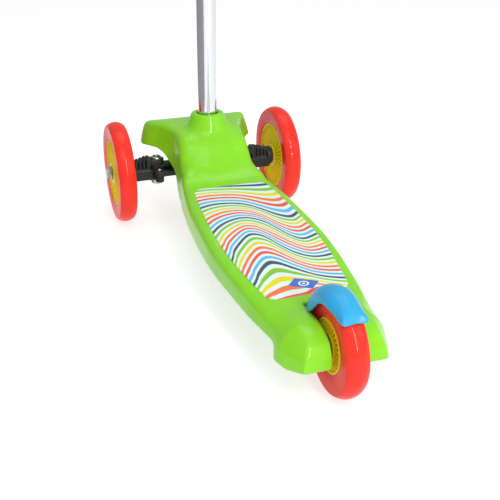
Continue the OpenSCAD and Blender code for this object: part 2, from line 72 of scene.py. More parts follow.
def columnPoint(height):
    # Point on the column's raked axis at that height above the ground
    return barMiddle + columnAxis * ((height - barMiddle.z) / columnAxis.z)


def newObject(name, verts, faces, smooth=True):
    mesh = bpy.data.meshes.new(name)
    mesh.from_pydata([tuple(v) for v in verts], [], [tuple(int(i) for i in f) for f in faces])
    mesh.validate()
    obj = bpy.data.objects.new(name, mesh)
    bpy.context.scene.collection.objects.link(obj)
    if smooth:
        mesh.polygons.foreach_set("use_smooth", [True] * len(mesh.polygons))
    return obj


def sharpen(obj, angle=40):
    obj.data.set_sharp_from_angle(angle=math.radians(angle))
    return obj


def finishPiece(obj, body, slotName, material, *nodes):
    obj.data.materials.clear()
    obj.data.materials.append(material)
    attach(obj, body)
    if nodes:
        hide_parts(*nodes)
    return obj


def filleted(points, radius, steps=5):
    # Rounds each inner corner of an open outline; a point may carry its own radius as a third value
    out = [Vector(points[0][:2])]
    for i in range(1, len(points) - 1):
        a, b, c = Vector(points[i - 1][:2]), Vector(points[i][:2]), Vector(points[i + 1][:2])
        r = points[i][2] if len(points[i]) > 2 else radius
        u, v = (a - b), (c - b)
        lu, lv = u.length, v.length
        if r <= 0 or lu < 1e-9 or lv < 1e-9:
            out.append(b)
            continue
        u.normalize()
        v.normalize()
        turn = math.acos(max(-1, min(1, u.dot(v))))
        if turn > math.pi - 0.05:
            out.append(b)
            continue
        d = min(r / math.tan(turn / 2), lu * 0.48, lv * 0.48)
        p, q = b + u * d, b + v * d
        for k in range(steps + 1):
            t = k / steps
            out.append(p * (1 - t) ** 2 + b * 2 * t * (1 - t) + q * t * t)
    out.append(Vector(points[-1][:2]))
    return out


def turned(name, outline, centre, axis, segments=96, angle=35, fillet=0.0):
    # Turns an outline of (radius, along) points in millimetres round an axis; a closed outline makes a ring
    points = [tuple(p) for p in filleted(outline, fillet)] if fillet else outline
    along = Vector(axis).normalized()
    side = along.orthogonal().normalized()
    other = along.cross(side)
    centre = Vector(centre)
    verts, faces, rings = [], [], []
    for radius, reach in (p[:2] for p in points):
        if not callable(radius) and radius < 1e-6:
            rings.append([len(verts)])
            verts.append(centre + along * reach * mm)
            continue
        rings.append(list(range(len(verts), len(verts) + segments)))
        for k in range(segments):
            a = 2 * math.pi * k / segments
            r = radius(a) if callable(radius) else radius
            verts.append(centre + along * reach * mm + (side * math.cos(a) + other * math.sin(a)) * r * mm)
    for a, b in zip(rings, rings[1:]):
        for k in range(segments):
            n = (k + 1) % segments
            quad = [a[k % len(a)], a[n % len(a)], b[n % len(b)], b[k % len(b)]]
            quad = list(dict.fromkeys(quad))
            if len(quad) > 2:
                faces.append(quad)
    obj = newObject(name, verts, faces)
    fixNormals(obj)
    return sharpen(obj, angle)


def fixNormals(obj):
    bm = bmesh.new()
    bm.from_mesh(obj.data)
    bmesh.ops.remove_doubles(bm, verts=bm.verts, dist=1e-7)
    bmesh.ops.recalc_face_normals(bm, faces=bm.faces)
    bm.to_mesh(obj.data)
    bm.free()


def joinedObjects(name, objs):
    # One object from several, keeping their sharp edges
    bpy.ops.object.select_all(action="DESELECT")
    for o in objs:
        o.select_set(True)
    bpy.context.view_layer.objects.active = objs[0]
    bpy.ops.object.join()
    objs[0].name = name
    objs[0].data.name = name
    return objs[0]


def swept(name, path, sideways, outline):
    # Carries a closed outline of (sideways, outward) points in millimetres along a path
    verts, faces = [], []
    n, last = len(outline), len(path) - 1
    for i, spot in enumerate(path):
        ahead = (path[min(i + 1, last)] - path[max(i - 1, 0)]).normalized()
        out = ahead.cross(sideways[i]).normalized()
        verts += [spot + (sideways[i] * a + out * b) * mm for a, b in outline]
    for i in range(last):
        for k in range(n):
            m = (k + 1) % n
            faces.append((i * n + k, i * n + m, (i + 1) * n + m, (i + 1) * n + k))
    faces.append(tuple(range(n)))
    faces.append(tuple(last * n + k for k in range(n)))
    obj = newObject(name, verts, faces)
    fixNormals(obj)
    return obj


def spline(points, per=6):
    # Smooth curve through a few given points
    p = [np.array(q, float) for q in points]
    p = [2 * p[0] - p[1]] + p + [2 * p[-1] - p[-2]]
    out = []
    for i in range(1, len(p) - 2):
        for k in range(per):
            t = k / per
            out.append(0.5 * (2 * p[i] + (p[i + 1] - p[i - 1]) * t
                              + (2 * p[i - 1] - 5 * p[i] + 4 * p[i + 1] - p[i + 2]) * t * t
                              + (3 * p[i] - p[i - 1] - 3 * p[i + 1] + p[i + 2]) * t ** 3))
    out.append(p[-2])
    return np.array(out)


# The solids below are signed distances in millimetres, negative inside
def merged(a, b, blend=0.0):
    if np.ndim(blend) == 0 and blend <= 0:
        return np.minimum(a, b)
    h = np.clip(0.5 + 0.5 * (b - a) / blend, 0, 1)
    return b * (1 - h) + a * h - blend * h * (1 - h)


def overlap(a, b, blend=0.0):
    return -merged(-a, -b, blend)


def carved(a, b, blend=0.0):
    return -merged(-a, b, blend)


def outlineDistance(px, py, points):
    # Signed distance to a closed outline
    best = np.full(np.broadcast(px, py).shape, 1e9)
    inside = np.zeros(best.shape, bool)
    n = len(points)
    for i in range(n):
        ax, ay = points[i]
        bx, by = points[(i + 1) % n]
        ex, ey = bx - ax, by - ay
        size = ex * ex + ey * ey
        if size < 1e-12:
            continue
        t = np.clip(((px - ax) * ex + (py - ay) * ey) / size, 0, 1)
        best = np.minimum(best, (px - ax - t * ex) ** 2 + (py - ay - t * ey) ** 2)
        if ey != 0:
            crosses = ((ay > py) != (by > py)) & (px < ex * (py - ay) / ey + ax)
            inside ^= crosses
    return np.where(inside, -1, 1) * np.sqrt(best)


def boxDistance(x, y, z, low, high, round=0.0):
    c = [(a + b) / 2 for a, b in zip(low, high)]
    h = [(b - a) / 2 - round for a, b in zip(low, high)]
    dx, dy, dz = np.abs(x - c[0]) - h[0], np.abs(y - c[1]) - h[1], np.abs(z - c[2]) - h[2]
    far = np.sqrt(np.maximum(dx, 0) ** 2 + np.maximum(dy, 0) ** 2 + np.maximum(dz, 0) ** 2)
    return far + np.minimum(np.maximum(np.maximum(dx, dy), dz), 0) - round


def rodDistance(x, y, z, start, end, radius, round=0.0):
    # Straight round rod with flat ends between two points
    a, b = np.array(start, float), np.array(end, float)
    d = b - a
    size = np.linalg.norm(d)
    d = d / size
    t = (x - a[0]) * d[0] + (y - a[1]) * d[1] + (z - a[2]) * d[2]
    r = np.sqrt(np.maximum((x - a[0]) ** 2 + (y - a[1]) ** 2 + (z - a[2]) ** 2 - t * t, 0)) - radius + round
    e = np.abs(t - size / 2) - size / 2 + round
    return np.sqrt(np.maximum(r, 0) ** 2 + np.maximum(e, 0) ** 2) + np.minimum(np.maximum(r, e), 0) - round


class Grid:
    # Even grid of points over a box, in millimetres
    def __init__(self, low, high, step):
        self.low, self.step = np.array(low, float), step
        self.count = [int(math.ceil((b - a) / step)) + 1 for a, b in zip(low, high)]
        axes = [np.arange(n) * step + a for n, a in zip(self.count, low)]
        self.x = axes[0].reshape(-1, 1, 1)
        self.y = axes[1].reshape(1, -1, 1)
        self.z = axes[2].reshape(1, 1, -1)
        self.flatX, self.flatY, self.flatZ = axes


def sampled(values, p):
    # Trilinear value at points given in grid units
    top = np.array(values.shape) - 1.001
    p = np.clip(p, 0, top)
    i = p.astype(int)
    f = p - i
    out = 0
    for dx in (0, 1):
        for dy in (0, 1):
            for dz in (0, 1):
                w = (np.abs(1 - dx - f[:, 0]) * np.abs(1 - dy - f[:, 1]) * np.abs(1 - dz - f[:, 2]))
                out = out + w * values[i[:, 0] + dx, i[:, 1] + dy, i[:, 2] + dz]
    return out


def skinned(name, grid, values, origin, relax=1, settle=3):
    # Surface where the values cross zero, one vertex to a cell, drawn onto the true surface
    inside = values < 0
    nx, ny, nz = values.shape
    total = np.zeros((nx - 1, ny - 1, nz - 1), np.int8)
    for dx in (0, 1):
        for dy in (0, 1):
            for dz in (0, 1):
                total += inside[dx:nx - 1 + dx, dy:ny - 1 + dy, dz:nz - 1 + dz]
    cells = np.argwhere((total > 0) & (total < 8))
    index = np.full(total.shape, -1, np.int64)
    index[tuple(cells.T)] = np.arange(len(cells))
    sums, counts = np.zeros((len(cells), 3)), np.zeros((len(cells), 1))
    corners = [(a, b, c) for a in (0, 1) for b in (0, 1) for c in (0, 1)]
    for p in corners:
        for axis in range(3):
            if p[axis]:
                continue
            q = list(p)
            q[axis] = 1
            fa = values[tuple((cells + p).T)]
            fb = values[tuple((cells + q).T)]
            hit = (fa < 0) != (fb < 0)
            t = np.where(hit, fa / np.where(hit, fa - fb, 1), 0)
            point = np.array(p, float)[None, :].repeat(len(cells), 0)
            point[:, axis] += t
            sums += point * hit[:, None]
            counts += hit[:, None]
    verts = cells + sums / counts
    faces = []
    for axis in range(3):
        u, v = (axis + 1) % 3, (axis + 2) % 3
        first, second = [slice(None)] * 3, [slice(None)] * 3
        first[axis], second[axis] = slice(0, -1), slice(1, None)
        crossing = inside[tuple(first)] != inside[tuple(second)]
        at = np.argwhere(crossing)
        at = at[(at[:, u] > 0) & (at[:, v] > 0)
                & (at[:, u] < values.shape[u] - 1) & (at[:, v] < values.shape[v] - 1)]
        ring = []
        for du, dv in ((-1, -1), (0, -1), (0, 0), (-1, 0)):
            c = at.copy()
            c[:, u] += du
            c[:, v] += dv
            ring.append(index[tuple(c.T)])
        quad = np.stack(ring, 1)
        away = inside[tuple(at.T)]
        quad[~away] = quad[~away][:, ::-1]
        faces.append(quad)
    faces = np.concatenate(faces)
    if relax:
        edges = np.concatenate([faces[:, [a, (a + 1) % 4]] for a in range(4)])
    for step in range(relax + 1):
        for k in range(settle):
            here = sampled(values, verts)
            slope = np.stack([sampled(values, verts + d) - sampled(values, verts - d)
                              for d in np.eye(3) * 0.5], 1)
            size = np.maximum((slope ** 2).sum(1), 1e-6)
            move = -slope * (here / size)[:, None]
            far = np.linalg.norm(move, axis=1, keepdims=True)
            verts = verts + move * np.minimum(1, 0.5 / np.maximum(far, 1e-9))
        if step < relax:
            near, many = np.zeros_like(verts), np.zeros((len(verts), 1))
            for a, b in ((0, 1), (1, 0)):
                np.add.at(near, edges[:, a], verts[edges[:, b]])
                np.add.at(many, edges[:, a], 1)
            verts = verts * 0.4 + near / many * 0.6
    world = (verts * grid.step + grid.low) * mm + np.array(origin)
    mesh = bpy.data.meshes.new(name)
    mesh.vertices.add(len(world))
    mesh.vertices.foreach_set("co", world.astype(np.float32).ravel())
    mesh.loops.add(faces.size)
    mesh.loops.foreach_set("vertex_index", faces.ravel().astype(np.int32))
    mesh.polygons.add(len(faces))
    mesh.polygons.foreach_set("loop_start", np.arange(0, faces.size, 4, dtype=np.int32))
    mesh.polygons.foreach_set("use_smooth", np.ones(len(faces), bool))
    mesh.update(calc_edges=True)
    mesh.validate()
    obj = bpy.data.objects.new(name, mesh)
    bpy.context.scene.collection.objects.link(obj)
    return obj


def thinned(obj, ratio):
    # Fewer faces where the surface is flat
    mod = obj.modifiers.new("thin", "DECIMATE")
    mod.ratio = ratio
    bpy.context.view_layer.objects.active = obj
    bpy.ops.object.modifier_apply(modifier=mod.name)
    obj.data.polygons.foreach_set("use_smooth", [True] * len(obj.data.polygons))
    return obj


def put(tree, kind, inputs=None, **props):
    # Adds a node, sets its choices, then links or sets each named input
    node = tree.nodes.new(kind)
    for key, value in props.items():
        setattr(node, key, value)
    for key, value in (inputs or {}).items():
        if isinstance(value, bpy.types.NodeSocket):
            tree.links.new(value, node.inputs[key])
        else:
            node.inputs[key].default_value = value
    return node


def math2(tree, operation, a, b=0.0, clamp=False):
    return put(tree, "ShaderNodeMath", {0: a, 1: b}, operation=operation, use_clamp=clamp).outputs[0]


def remap(tree, value, low, high, outLow=0.0, outHigh=1.0):
    wanted = {"Value": value, "From Min": low, "From Max": high, "To Min": outLow, "To Max": outHigh}
    return put(tree, "ShaderNodeMapRange", wanted).outputs[0]


def mixed(tree, factor, a, b):
    return put(tree, "ShaderNodeMix", {"Factor": factor, 6: a, 7: b}, data_type="RGBA").outputs[2]


def newGroup(name, inputs, outputs):
    tree = bpy.data.node_groups.new(name, "ShaderNodeTree")
    for label, kind, value in inputs:
        socket = tree.interface.new_socket(label, in_out="INPUT", socket_type=kind)
        socket.default_value = value
    for label, kind in outputs:
        tree.interface.new_socket(label, in_out="OUTPUT", socket_type=kind)
    return tree, tree.nodes.new("NodeGroupInput"), tree.nodes.new("NodeGroupOutput")


def mouldGrainGroup():
    # Fine spark-eroded grain and slow flow marks of a moulded part
    tree, given, out = newGroup(
        "mouldGrain",
        [("Size", "NodeSocketFloat", 0.0006), ("Coarse", "NodeSocketFloat", 0.03)],
        [("Height", "NodeSocketFloat"), ("Flow", "NodeSocketFloat")])
    place = put(tree, "ShaderNodeTexCoord").outputs["Object"]
    fine = math2(tree, "DIVIDE", 1.0, given.outputs["Size"])
    slow = math2(tree, "DIVIDE", 1.0, given.outputs["Coarse"])
    grain = put(tree, "ShaderNodeTexVoronoi", {"Vector": place, "Scale": fine, "Randomness": 1.0},
                feature="SMOOTH_F1").outputs["Distance"]
    noise = put(tree, "ShaderNodeTexNoise", {"Vector": place, "Scale": fine, "Detail": 3.0}).outputs[0]
    flow = put(tree, "ShaderNodeTexNoise", {"Vector": place, "Scale": slow, "Detail": 4.0,
                                            "Distortion": 0.6}).outputs[0]
    height = math2(tree, "ADD", math2(tree, "MULTIPLY", grain, 0.6), math2(tree, "MULTIPLY", noise, 0.4))
    tree.links.new(height, out.inputs["Height"])
    tree.links.new(flow, out.inputs["Flow"])
    return tree


def edgeWearAndCreaseShadeGroup():
    # Mask of worn outer corners, broken up by noise, and a painted shade mask for hollows and creases
    tree, given, out = newGroup(
        "edgeWearAndCreaseShade",
        [("Amount", "NodeSocketFloat", 0.5), ("Breakup", "NodeSocketFloat", 300.0)],
        [("Mask", "NodeSocketFloat"), ("CreaseShade", "NodeSocketFloat")])
    place = put(tree, "ShaderNodeTexCoord").outputs["Object"]
    point = put(tree, "ShaderNodeNewGeometry").outputs["Pointiness"]
    noise = put(tree, "ShaderNodeTexNoise", {"Vector": place, "Scale": given.outputs["Breakup"],
                                             "Detail": 5.0}).outputs[0]
    corner = remap(tree, point, 0.51, 0.6)
    mask = math2(tree, "MULTIPLY", corner, remap(tree, noise, 0.35, 0.65))
    mask = math2(tree, "MULTIPLY", mask, given.outputs["Amount"], clamp=True)
    tree.links.new(mask, out.inputs["Mask"])
    # Painted shade: hollows and creases, where the surface is least pointy, get a mask that darkens them
    tree.links.new(remap(tree, point, 0.49, 0.42), out.inputs["CreaseShade"])
    return tree


def dustGroup():
    # Thin dust that settles on faces that look up
    tree, given, out = newGroup(
        "dust", [("Amount", "NodeSocketFloat", 0.2)], [("Mask", "NodeSocketFloat")])
    place = put(tree, "ShaderNodeTexCoord").outputs["Object"]
    normal = put(tree, "ShaderNodeTexCoord").outputs["Normal"]
    up = put(tree, "ShaderNodeSeparateXYZ", {0: normal}).outputs["Z"]
    patch = put(tree, "ShaderNodeTexNoise", {"Vector": place, "Scale": 45.0, "Detail": 6.0,
                                             "Roughness": 0.65}).outputs[0]
    speck = put(tree, "ShaderNodeTexNoise", {"Vector": place, "Scale": 1400.0, "Detail": 2.0}).outputs[0]
    mask = math2(tree, "MULTIPLY", remap(tree, up, 0.2, 0.9), remap(tree, patch, 0.4, 0.7))
    mask = math2(tree, "MULTIPLY", mask, remap(tree, speck, 0.45, 0.7))
    mask = math2(tree, "MULTIPLY", mask, given.outputs["Amount"], clamp=True)
    tree.links.new(mask, out.inputs["Mask"])
    return tree


def scuffGroup():
    # Hairline scratches in two directions
    tree, given, out = newGroup(
        "scuff",
        [("Amount", "NodeSocketFloat", 0.3), ("Density", "NodeSocketFloat", 1.0)],
        [("Mask", "NodeSocketFloat")])
    place = put(tree, "ShaderNodeTexCoord").outputs["Object"]
    layers = []
    for turn, stretch in ((0.5, (26.0, 900.0, 300.0)), (-0.8, (700.0, 40.0, 260.0))):
        moved = put(tree, "ShaderNodeMapping", {"Vector": place, "Rotation": (turn * 0.3, turn * 0.2, turn),
                                                "Scale": stretch}).outputs[0]
        noise = put(tree, "ShaderNodeTexNoise", {"Vector": moved, "Scale": given.outputs["Density"],
                                                 "Detail": 2.0}).outputs[0]
        layers.append(remap(tree, noise, 0.68, 0.74))
    wide = put(tree, "ShaderNodeTexNoise", {"Vector": place, "Scale": 30.0, "Detail": 2.0}).outputs[0]
    mask = math2(tree, "MAXIMUM", layers[0], layers[1])
    mask = math2(tree, "MULTIPLY", mask, remap(tree, wide, 0.42, 0.62))
    mask = math2(tree, "MULTIPLY", mask, given.outputs["Amount"], clamp=True)
    tree.links.new(mask, out.inputs["Mask"])
    return tree


groups = {"grain": mouldGrainGroup(), "wear": edgeWearAndCreaseShadeGroup(), "dust": dustGroup(), "scuff": scuffGroup()}


def useGroup(tree, name, **values):
    node = tree.nodes.new("ShaderNodeGroup")
    node.node_tree = groups[name]
    for key, value in values.items():
        node.inputs[key.capitalize()].default_value = value
    return node


def rgb(red, green, blue):
    # Display colour, 0 to 255, as the linear colour that shaders use
    line = [c / 255 / 12.92 if c <= 10.31 else ((c / 255 + 0.055) / 1.055) ** 2.4 for c in (red, green, blue)]
    return (*line, 1.0)


def newMaterial(name):
    mat = bpy.data.materials.new(name)
    mat.use_nodes = True
    tree = mat.node_tree
    return mat, tree, tree.nodes["Principled BSDF"]


def mouldedMaterial(name, look):
    # Coloured moulded plastic or rubber
    mat, tree, shader = newMaterial(name)
    grain = useGroup(tree, "grain", size=look["grain"], coarse=0.035)
    wear = useGroup(tree, "wear", amount=look["wear"], breakup=420.0)
    dust = useGroup(tree, "dust", amount=look["dust"])
    scuff = useGroup(tree, "scuff", amount=look["scuff"], density=1.0)
    flow = remap(tree, grain.outputs["Flow"], 0.35, 0.65)
    colour = mixed(tree, flow, look["colour"], look["deep"])
    # Painted shade: creases and hollows are darkened towards the shade colour
    creaseShade = math2(tree, "MULTIPLY", wear.outputs["CreaseShade"], look["creaseShade"])
    colour = mixed(tree, creaseShade, colour, look["shade"])
    colour = mixed(tree, wear.outputs["Mask"], colour, look["worn"])
    colour = mixed(tree, math2(tree, "MULTIPLY", scuff.outputs["Mask"], 0.5), colour, look["worn"])
    colour = mixed(tree, dust.outputs["Mask"], colour, rgb(205, 200, 190))
    tree.links.new(colour, shader.inputs["Base Color"])
    rough = remap(tree, grain.outputs["Flow"], 0.3, 0.7, look["rough"] - 0.04, look["rough"] + 0.05)
    rough = math2(tree, "ADD", rough, math2(tree, "MULTIPLY", scuff.outputs["Mask"], 0.25))
    rough = math2(tree, "ADD", rough, math2(tree, "MULTIPLY", dust.outputs["Mask"], 0.3), clamp=True)
    tree.links.new(rough, shader.inputs["Roughness"])
    scratch = math2(tree, "MULTIPLY", scuff.outputs["Mask"], 2.0)
    height = math2(tree, "SUBTRACT", grain.outputs["Height"], scratch)
    bump = put(tree, "ShaderNodeBump", {"Strength": look["bump"], "Distance": look["grain"] * 0.2,
                                        "Height": height})
    tree.links.new(bump.outputs[0], shader.inputs["Normal"])
    shader.inputs["IOR"].default_value = 1.46
    shader.inputs["Specular IOR Level"].default_value = look.get("shine", 0.4)
    shader.inputs["Coat Weight"].default_value = look.get("coat", 0.0)
    shader.inputs["Coat Roughness"].default_value = look.get("coatRough", 0.15)
    shader.inputs["Subsurface Weight"].default_value = look.get("under", 0.0)
    shader.inputs["Subsurface Radius"].default_value = (1.0, 0.35, 0.25)
    shader.inputs["Subsurface Scale"].default_value = 0.002
    return mat


def metalMaterial(name, look):
    # Plated or polished steel
    mat, tree, shader = newMaterial(name)
    grain = useGroup(tree, "grain", size=look["grain"], coarse=0.02)
    scuff = useGroup(tree, "scuff", amount=look["scuff"], density=1.6)
    # Only this group's painted crease shade is used here; its wear mask is not
    wear = useGroup(tree, "wear", amount=0.6, breakup=500.0)
    dust = useGroup(tree, "dust", amount=look["dust"])
    flow = remap(tree, grain.outputs["Flow"], 0.3, 0.7)
    colour = mixed(tree, flow, look["colour"], look["deep"])
    # Painted shade: creases and hollows of the metal are darkened towards the shade colour
    colour = mixed(tree, math2(tree, "MULTIPLY", wear.outputs["CreaseShade"], 0.6), colour, look["shade"])
    colour = mixed(tree, dust.outputs["Mask"], colour, rgb(190, 185, 175))
    tree.links.new(colour, shader.inputs["Base Color"])
    shader.inputs["Metallic"].default_value = 1.0
    rough = remap(tree, grain.outputs["Flow"], 0.3, 0.7, look["rough"] * 0.8, look["rough"] * 1.25)
    rough = math2(tree, "ADD", rough, math2(tree, "MULTIPLY", scuff.outputs["Mask"], 0.2), clamp=True)
    tree.links.new(rough, shader.inputs["Roughness"])
    height = math2(tree, "SUBTRACT", grain.outputs["Height"], scuff.outputs["Mask"])
    bump = put(tree, "ShaderNodeBump", {"Strength": look["bump"], "Distance": look["grain"] * 0.1,
                                        "Height": height})
    tree.links.new(bump.outputs[0], shader.inputs["Normal"])
    return mat


# In each look, shade is the painted shade colour put into creases and hollows
greenPlastic = mouldedMaterial("green", {
    "colour": rgb(134, 214, 37), "deep": rgb(129, 209, 31), "shade": rgb(96, 168, 12),
    "worn": rgb(168, 230, 90),
    "creaseShade": 0.35, "grain": 0.0005, "bump": 0.16, "rough": 0.36, "wear": 0.25, "dust": 0.1, "scuff": 0.12,
    "coat": 0.4, "coatRough": 0.05, "under": 0.05, "shine": 0.15})
bluePlastic = mouldedMaterial("blue", {
    "colour": rgb(46, 164, 218), "deep": rgb(41, 158, 213), "shade": rgb(30, 120, 180),
    "worn": rgb(150, 214, 242),
    "creaseShade": 0.3, "grain": 0.0005, "bump": 0.14, "rough": 0.33, "wear": 0.25, "dust": 0.12, "scuff": 0.14,
    "coat": 0.15, "coatRough": 0.2, "under": 0.04, "shine": 0.25})
gripBlue = mouldedMaterial("soft_blue", {
    "colour": rgb(62, 168, 222), "deep": rgb(56, 160, 214), "shade": rgb(26, 100, 156),
    "worn": rgb(120, 196, 230),
    "creaseShade": 0.5, "grain": 0.0008, "bump": 0.45, "rough": 0.62, "wear": 0.2, "dust": 0.18, "scuff": 0.05})
tyreRed = mouldedMaterial("tyre_red", {
    "colour": rgb(238, 54, 42), "deep": rgb(230, 48, 37), "shade": rgb(180, 36, 30), "worn": rgb(252, 96, 84),
    "creaseShade": 0.2, "grain": 0.0007, "bump": 0.06, "rough": 0.34, "wear": 0.06, "dust": 0.06, "scuff": 0.12,
    "coat": 0.26, "coatRough": 0.06, "under": 0.08, "shine": 0.05})
coreYellow = mouldedMaterial("core_yellow", {
    "colour": rgb(246, 214, 14), "deep": rgb(238, 204, 10), "shade": rgb(190, 140, 8),
    "worn": rgb(232, 212, 80),
    "creaseShade": 0.3, "grain": 0.0005, "bump": 0.15, "rough": 0.42, "wear": 0.15, "dust": 0.05, "scuff": 0.1,
    "shine": 0.15})
blackNylon = mouldedMaterial("black_nylon", {
    "colour": rgb(40, 39, 42), "deep": rgb(32, 31, 34), "shade": rgb(14, 14, 16), "worn": rgb(92, 92, 96),
    "creaseShade": 0.6, "grain": 0.0006, "bump": 0.3, "rough": 0.46, "wear": 0.5, "dust": 0.16, "scuff": 0.15})
darkRubber = mouldedMaterial("dark_rubber", {
    "colour": rgb(34, 34, 36), "deep": rgb(28, 28, 30), "shade": rgb(12, 12, 13), "worn": rgb(80, 80, 82),
    "creaseShade": 0.5, "grain": 0.001, "bump": 0.4, "rough": 0.7, "wear": 0.3, "dust": 0.3, "scuff": 0.1})
chrome = metalMaterial("chrome_tube", {
    "colour": rgb(226, 228, 232), "deep": rgb(220, 222, 227), "shade": rgb(150, 150, 155),
    "grain": 0.002, "bump": 0.03, "rough": 0.07, "dust": 0.06, "scuff": 0.12})
zincSteel = metalMaterial("zinc_steel", {
    "colour": rgb(198, 200, 206), "deep": rgb(182, 184, 188), "shade": rgb(96, 96, 100),
    "grain": 0.0005, "bump": 0.15, "rough": 0.27, "dust": 0.12, "scuff": 0.3})
print("materials ready")


# Lengths in millimetres: y forward from the rear axle, z up from the ground, x to the right
deckLook = {
    "slope": 0.05,
    "level": 58.0,
    "ramp": [(300, 73), (310, 74), (320, 77.5), (330, 84.5), (338, 94), (346, 104.5), (354, 111), (364, 115),
             (382, 116.9), (412, 116.8), (434, 115.2), (448, 111.4), (457, 104), (461.5, 95), (462.5, 84)],
    "under": [(-60, 42.5), (341, 42.5), (352, 43.4), (359, 46.5), (365, 52), (370, 58.5), (376, 64),
              (384, 69), (392, 73.7), (401, 79.2), (409, 83.6), (418, 86.2), (430, 86.6), (442, 85.4),
              (452, 84.6), (480, 84.6)],
    "half": [(15, 39.5), (39, 45.2), (64, 50.2), (93, 54.4), (126, 58.3), (167, 60.8), (206, 60), (246, 57.7),
             (283, 54.4), (323, 47.7), (340, 42.6), (356, 40), (378, 39), (398, 42.5), (417, 49.5),
             (430, 56.5),
             (438, 60.5), (446, 62), (456, 61.6)],
    "flare": [(16, 0.4), (45, 0.24), (74, 0.16), (112, 0.04), (160, 0.0), (290, 0.0), (322, 0.06),
              (345, 0.075), (362, 0.08), (385, 0.08), (410, 0.15), (432, 0.29)],
    "collar": [(84, 41), (90, 37.6), (100, 32.2), (110, 27.9), (119, 24.6), (125, 22.3), (131, 19.9),
               (135, 18.3), (138, 17), (142, 15.6)],
    "rampBow": 0.0072,
    "cheek": [(-24, 34), (-20.6, 38), (-19.6, 44), (-17.3, 50.8), (-12.6, 57.4), (-2, 62.5), (10.8, 65.6),
              (25.7, 64), (39, 61.7), (62, 61.1), (80, 60)],
    "skirt": [(-21, 36), (-2, 31), (18, 31), (30, 42)],
    "wall": 3.0,
    "edge": 9.0,
    "wingEdge": 6.0,
    "collarBlend": 7.0,
    "rim": 135.2,
    "bore": 12.6,
    "slotHalf": 12.5,
    "slotFront": 57.0,
    "ribGap": 41.0,
    "ribHalf": 1.1,
    "grid": ((0, -25, 27), (72, 468, 147), 1.15),
    "nose": [(70, 420), (70, 440), (69.5, 450), (65, 458), (54, 461.8), (40, 463), (0, 464)],
    "cheekPlan": [(-5, 62), (-5, -20.4), (37.8, -20.4, 2.6), (46.8, -3, 3), (50.4, 15, 2), (45.6, 28, 4),
                  (42, 62), (-5, 62)],
    "hangers": (((12.5, 46, 45), (21.5, 58, 60)), ((-1, 395.8, 70), (11, 400.9, 112)),
                ((-1, 431.4, 70), (11, 436.4, 112))),
    "axleLevel": 45.5,
    "buttonLevel": 127,
    "rimTilt": 0.04,
    "keepFaces": 0.5,
}


def curveHeight(points, y, per=6):
    s = spline(points, per)
    return np.interp(y, s[:, 0], s[:, 1])


def deckTop(y):
    ramp = curveHeight(deckLook["ramp"], y)
    return np.where(y < 300, deckLook["level"] + deckLook["slope"] * y, ramp)


def deckHalf(y):
    return curveHeight(deckLook["half"], y)


def columnRow(z):
    # How far forward of the rear axle the column's axis is at that height, in millimetres
    p = columnPoint(z * mm)
    return (p.y - rearAxle.y) / mm


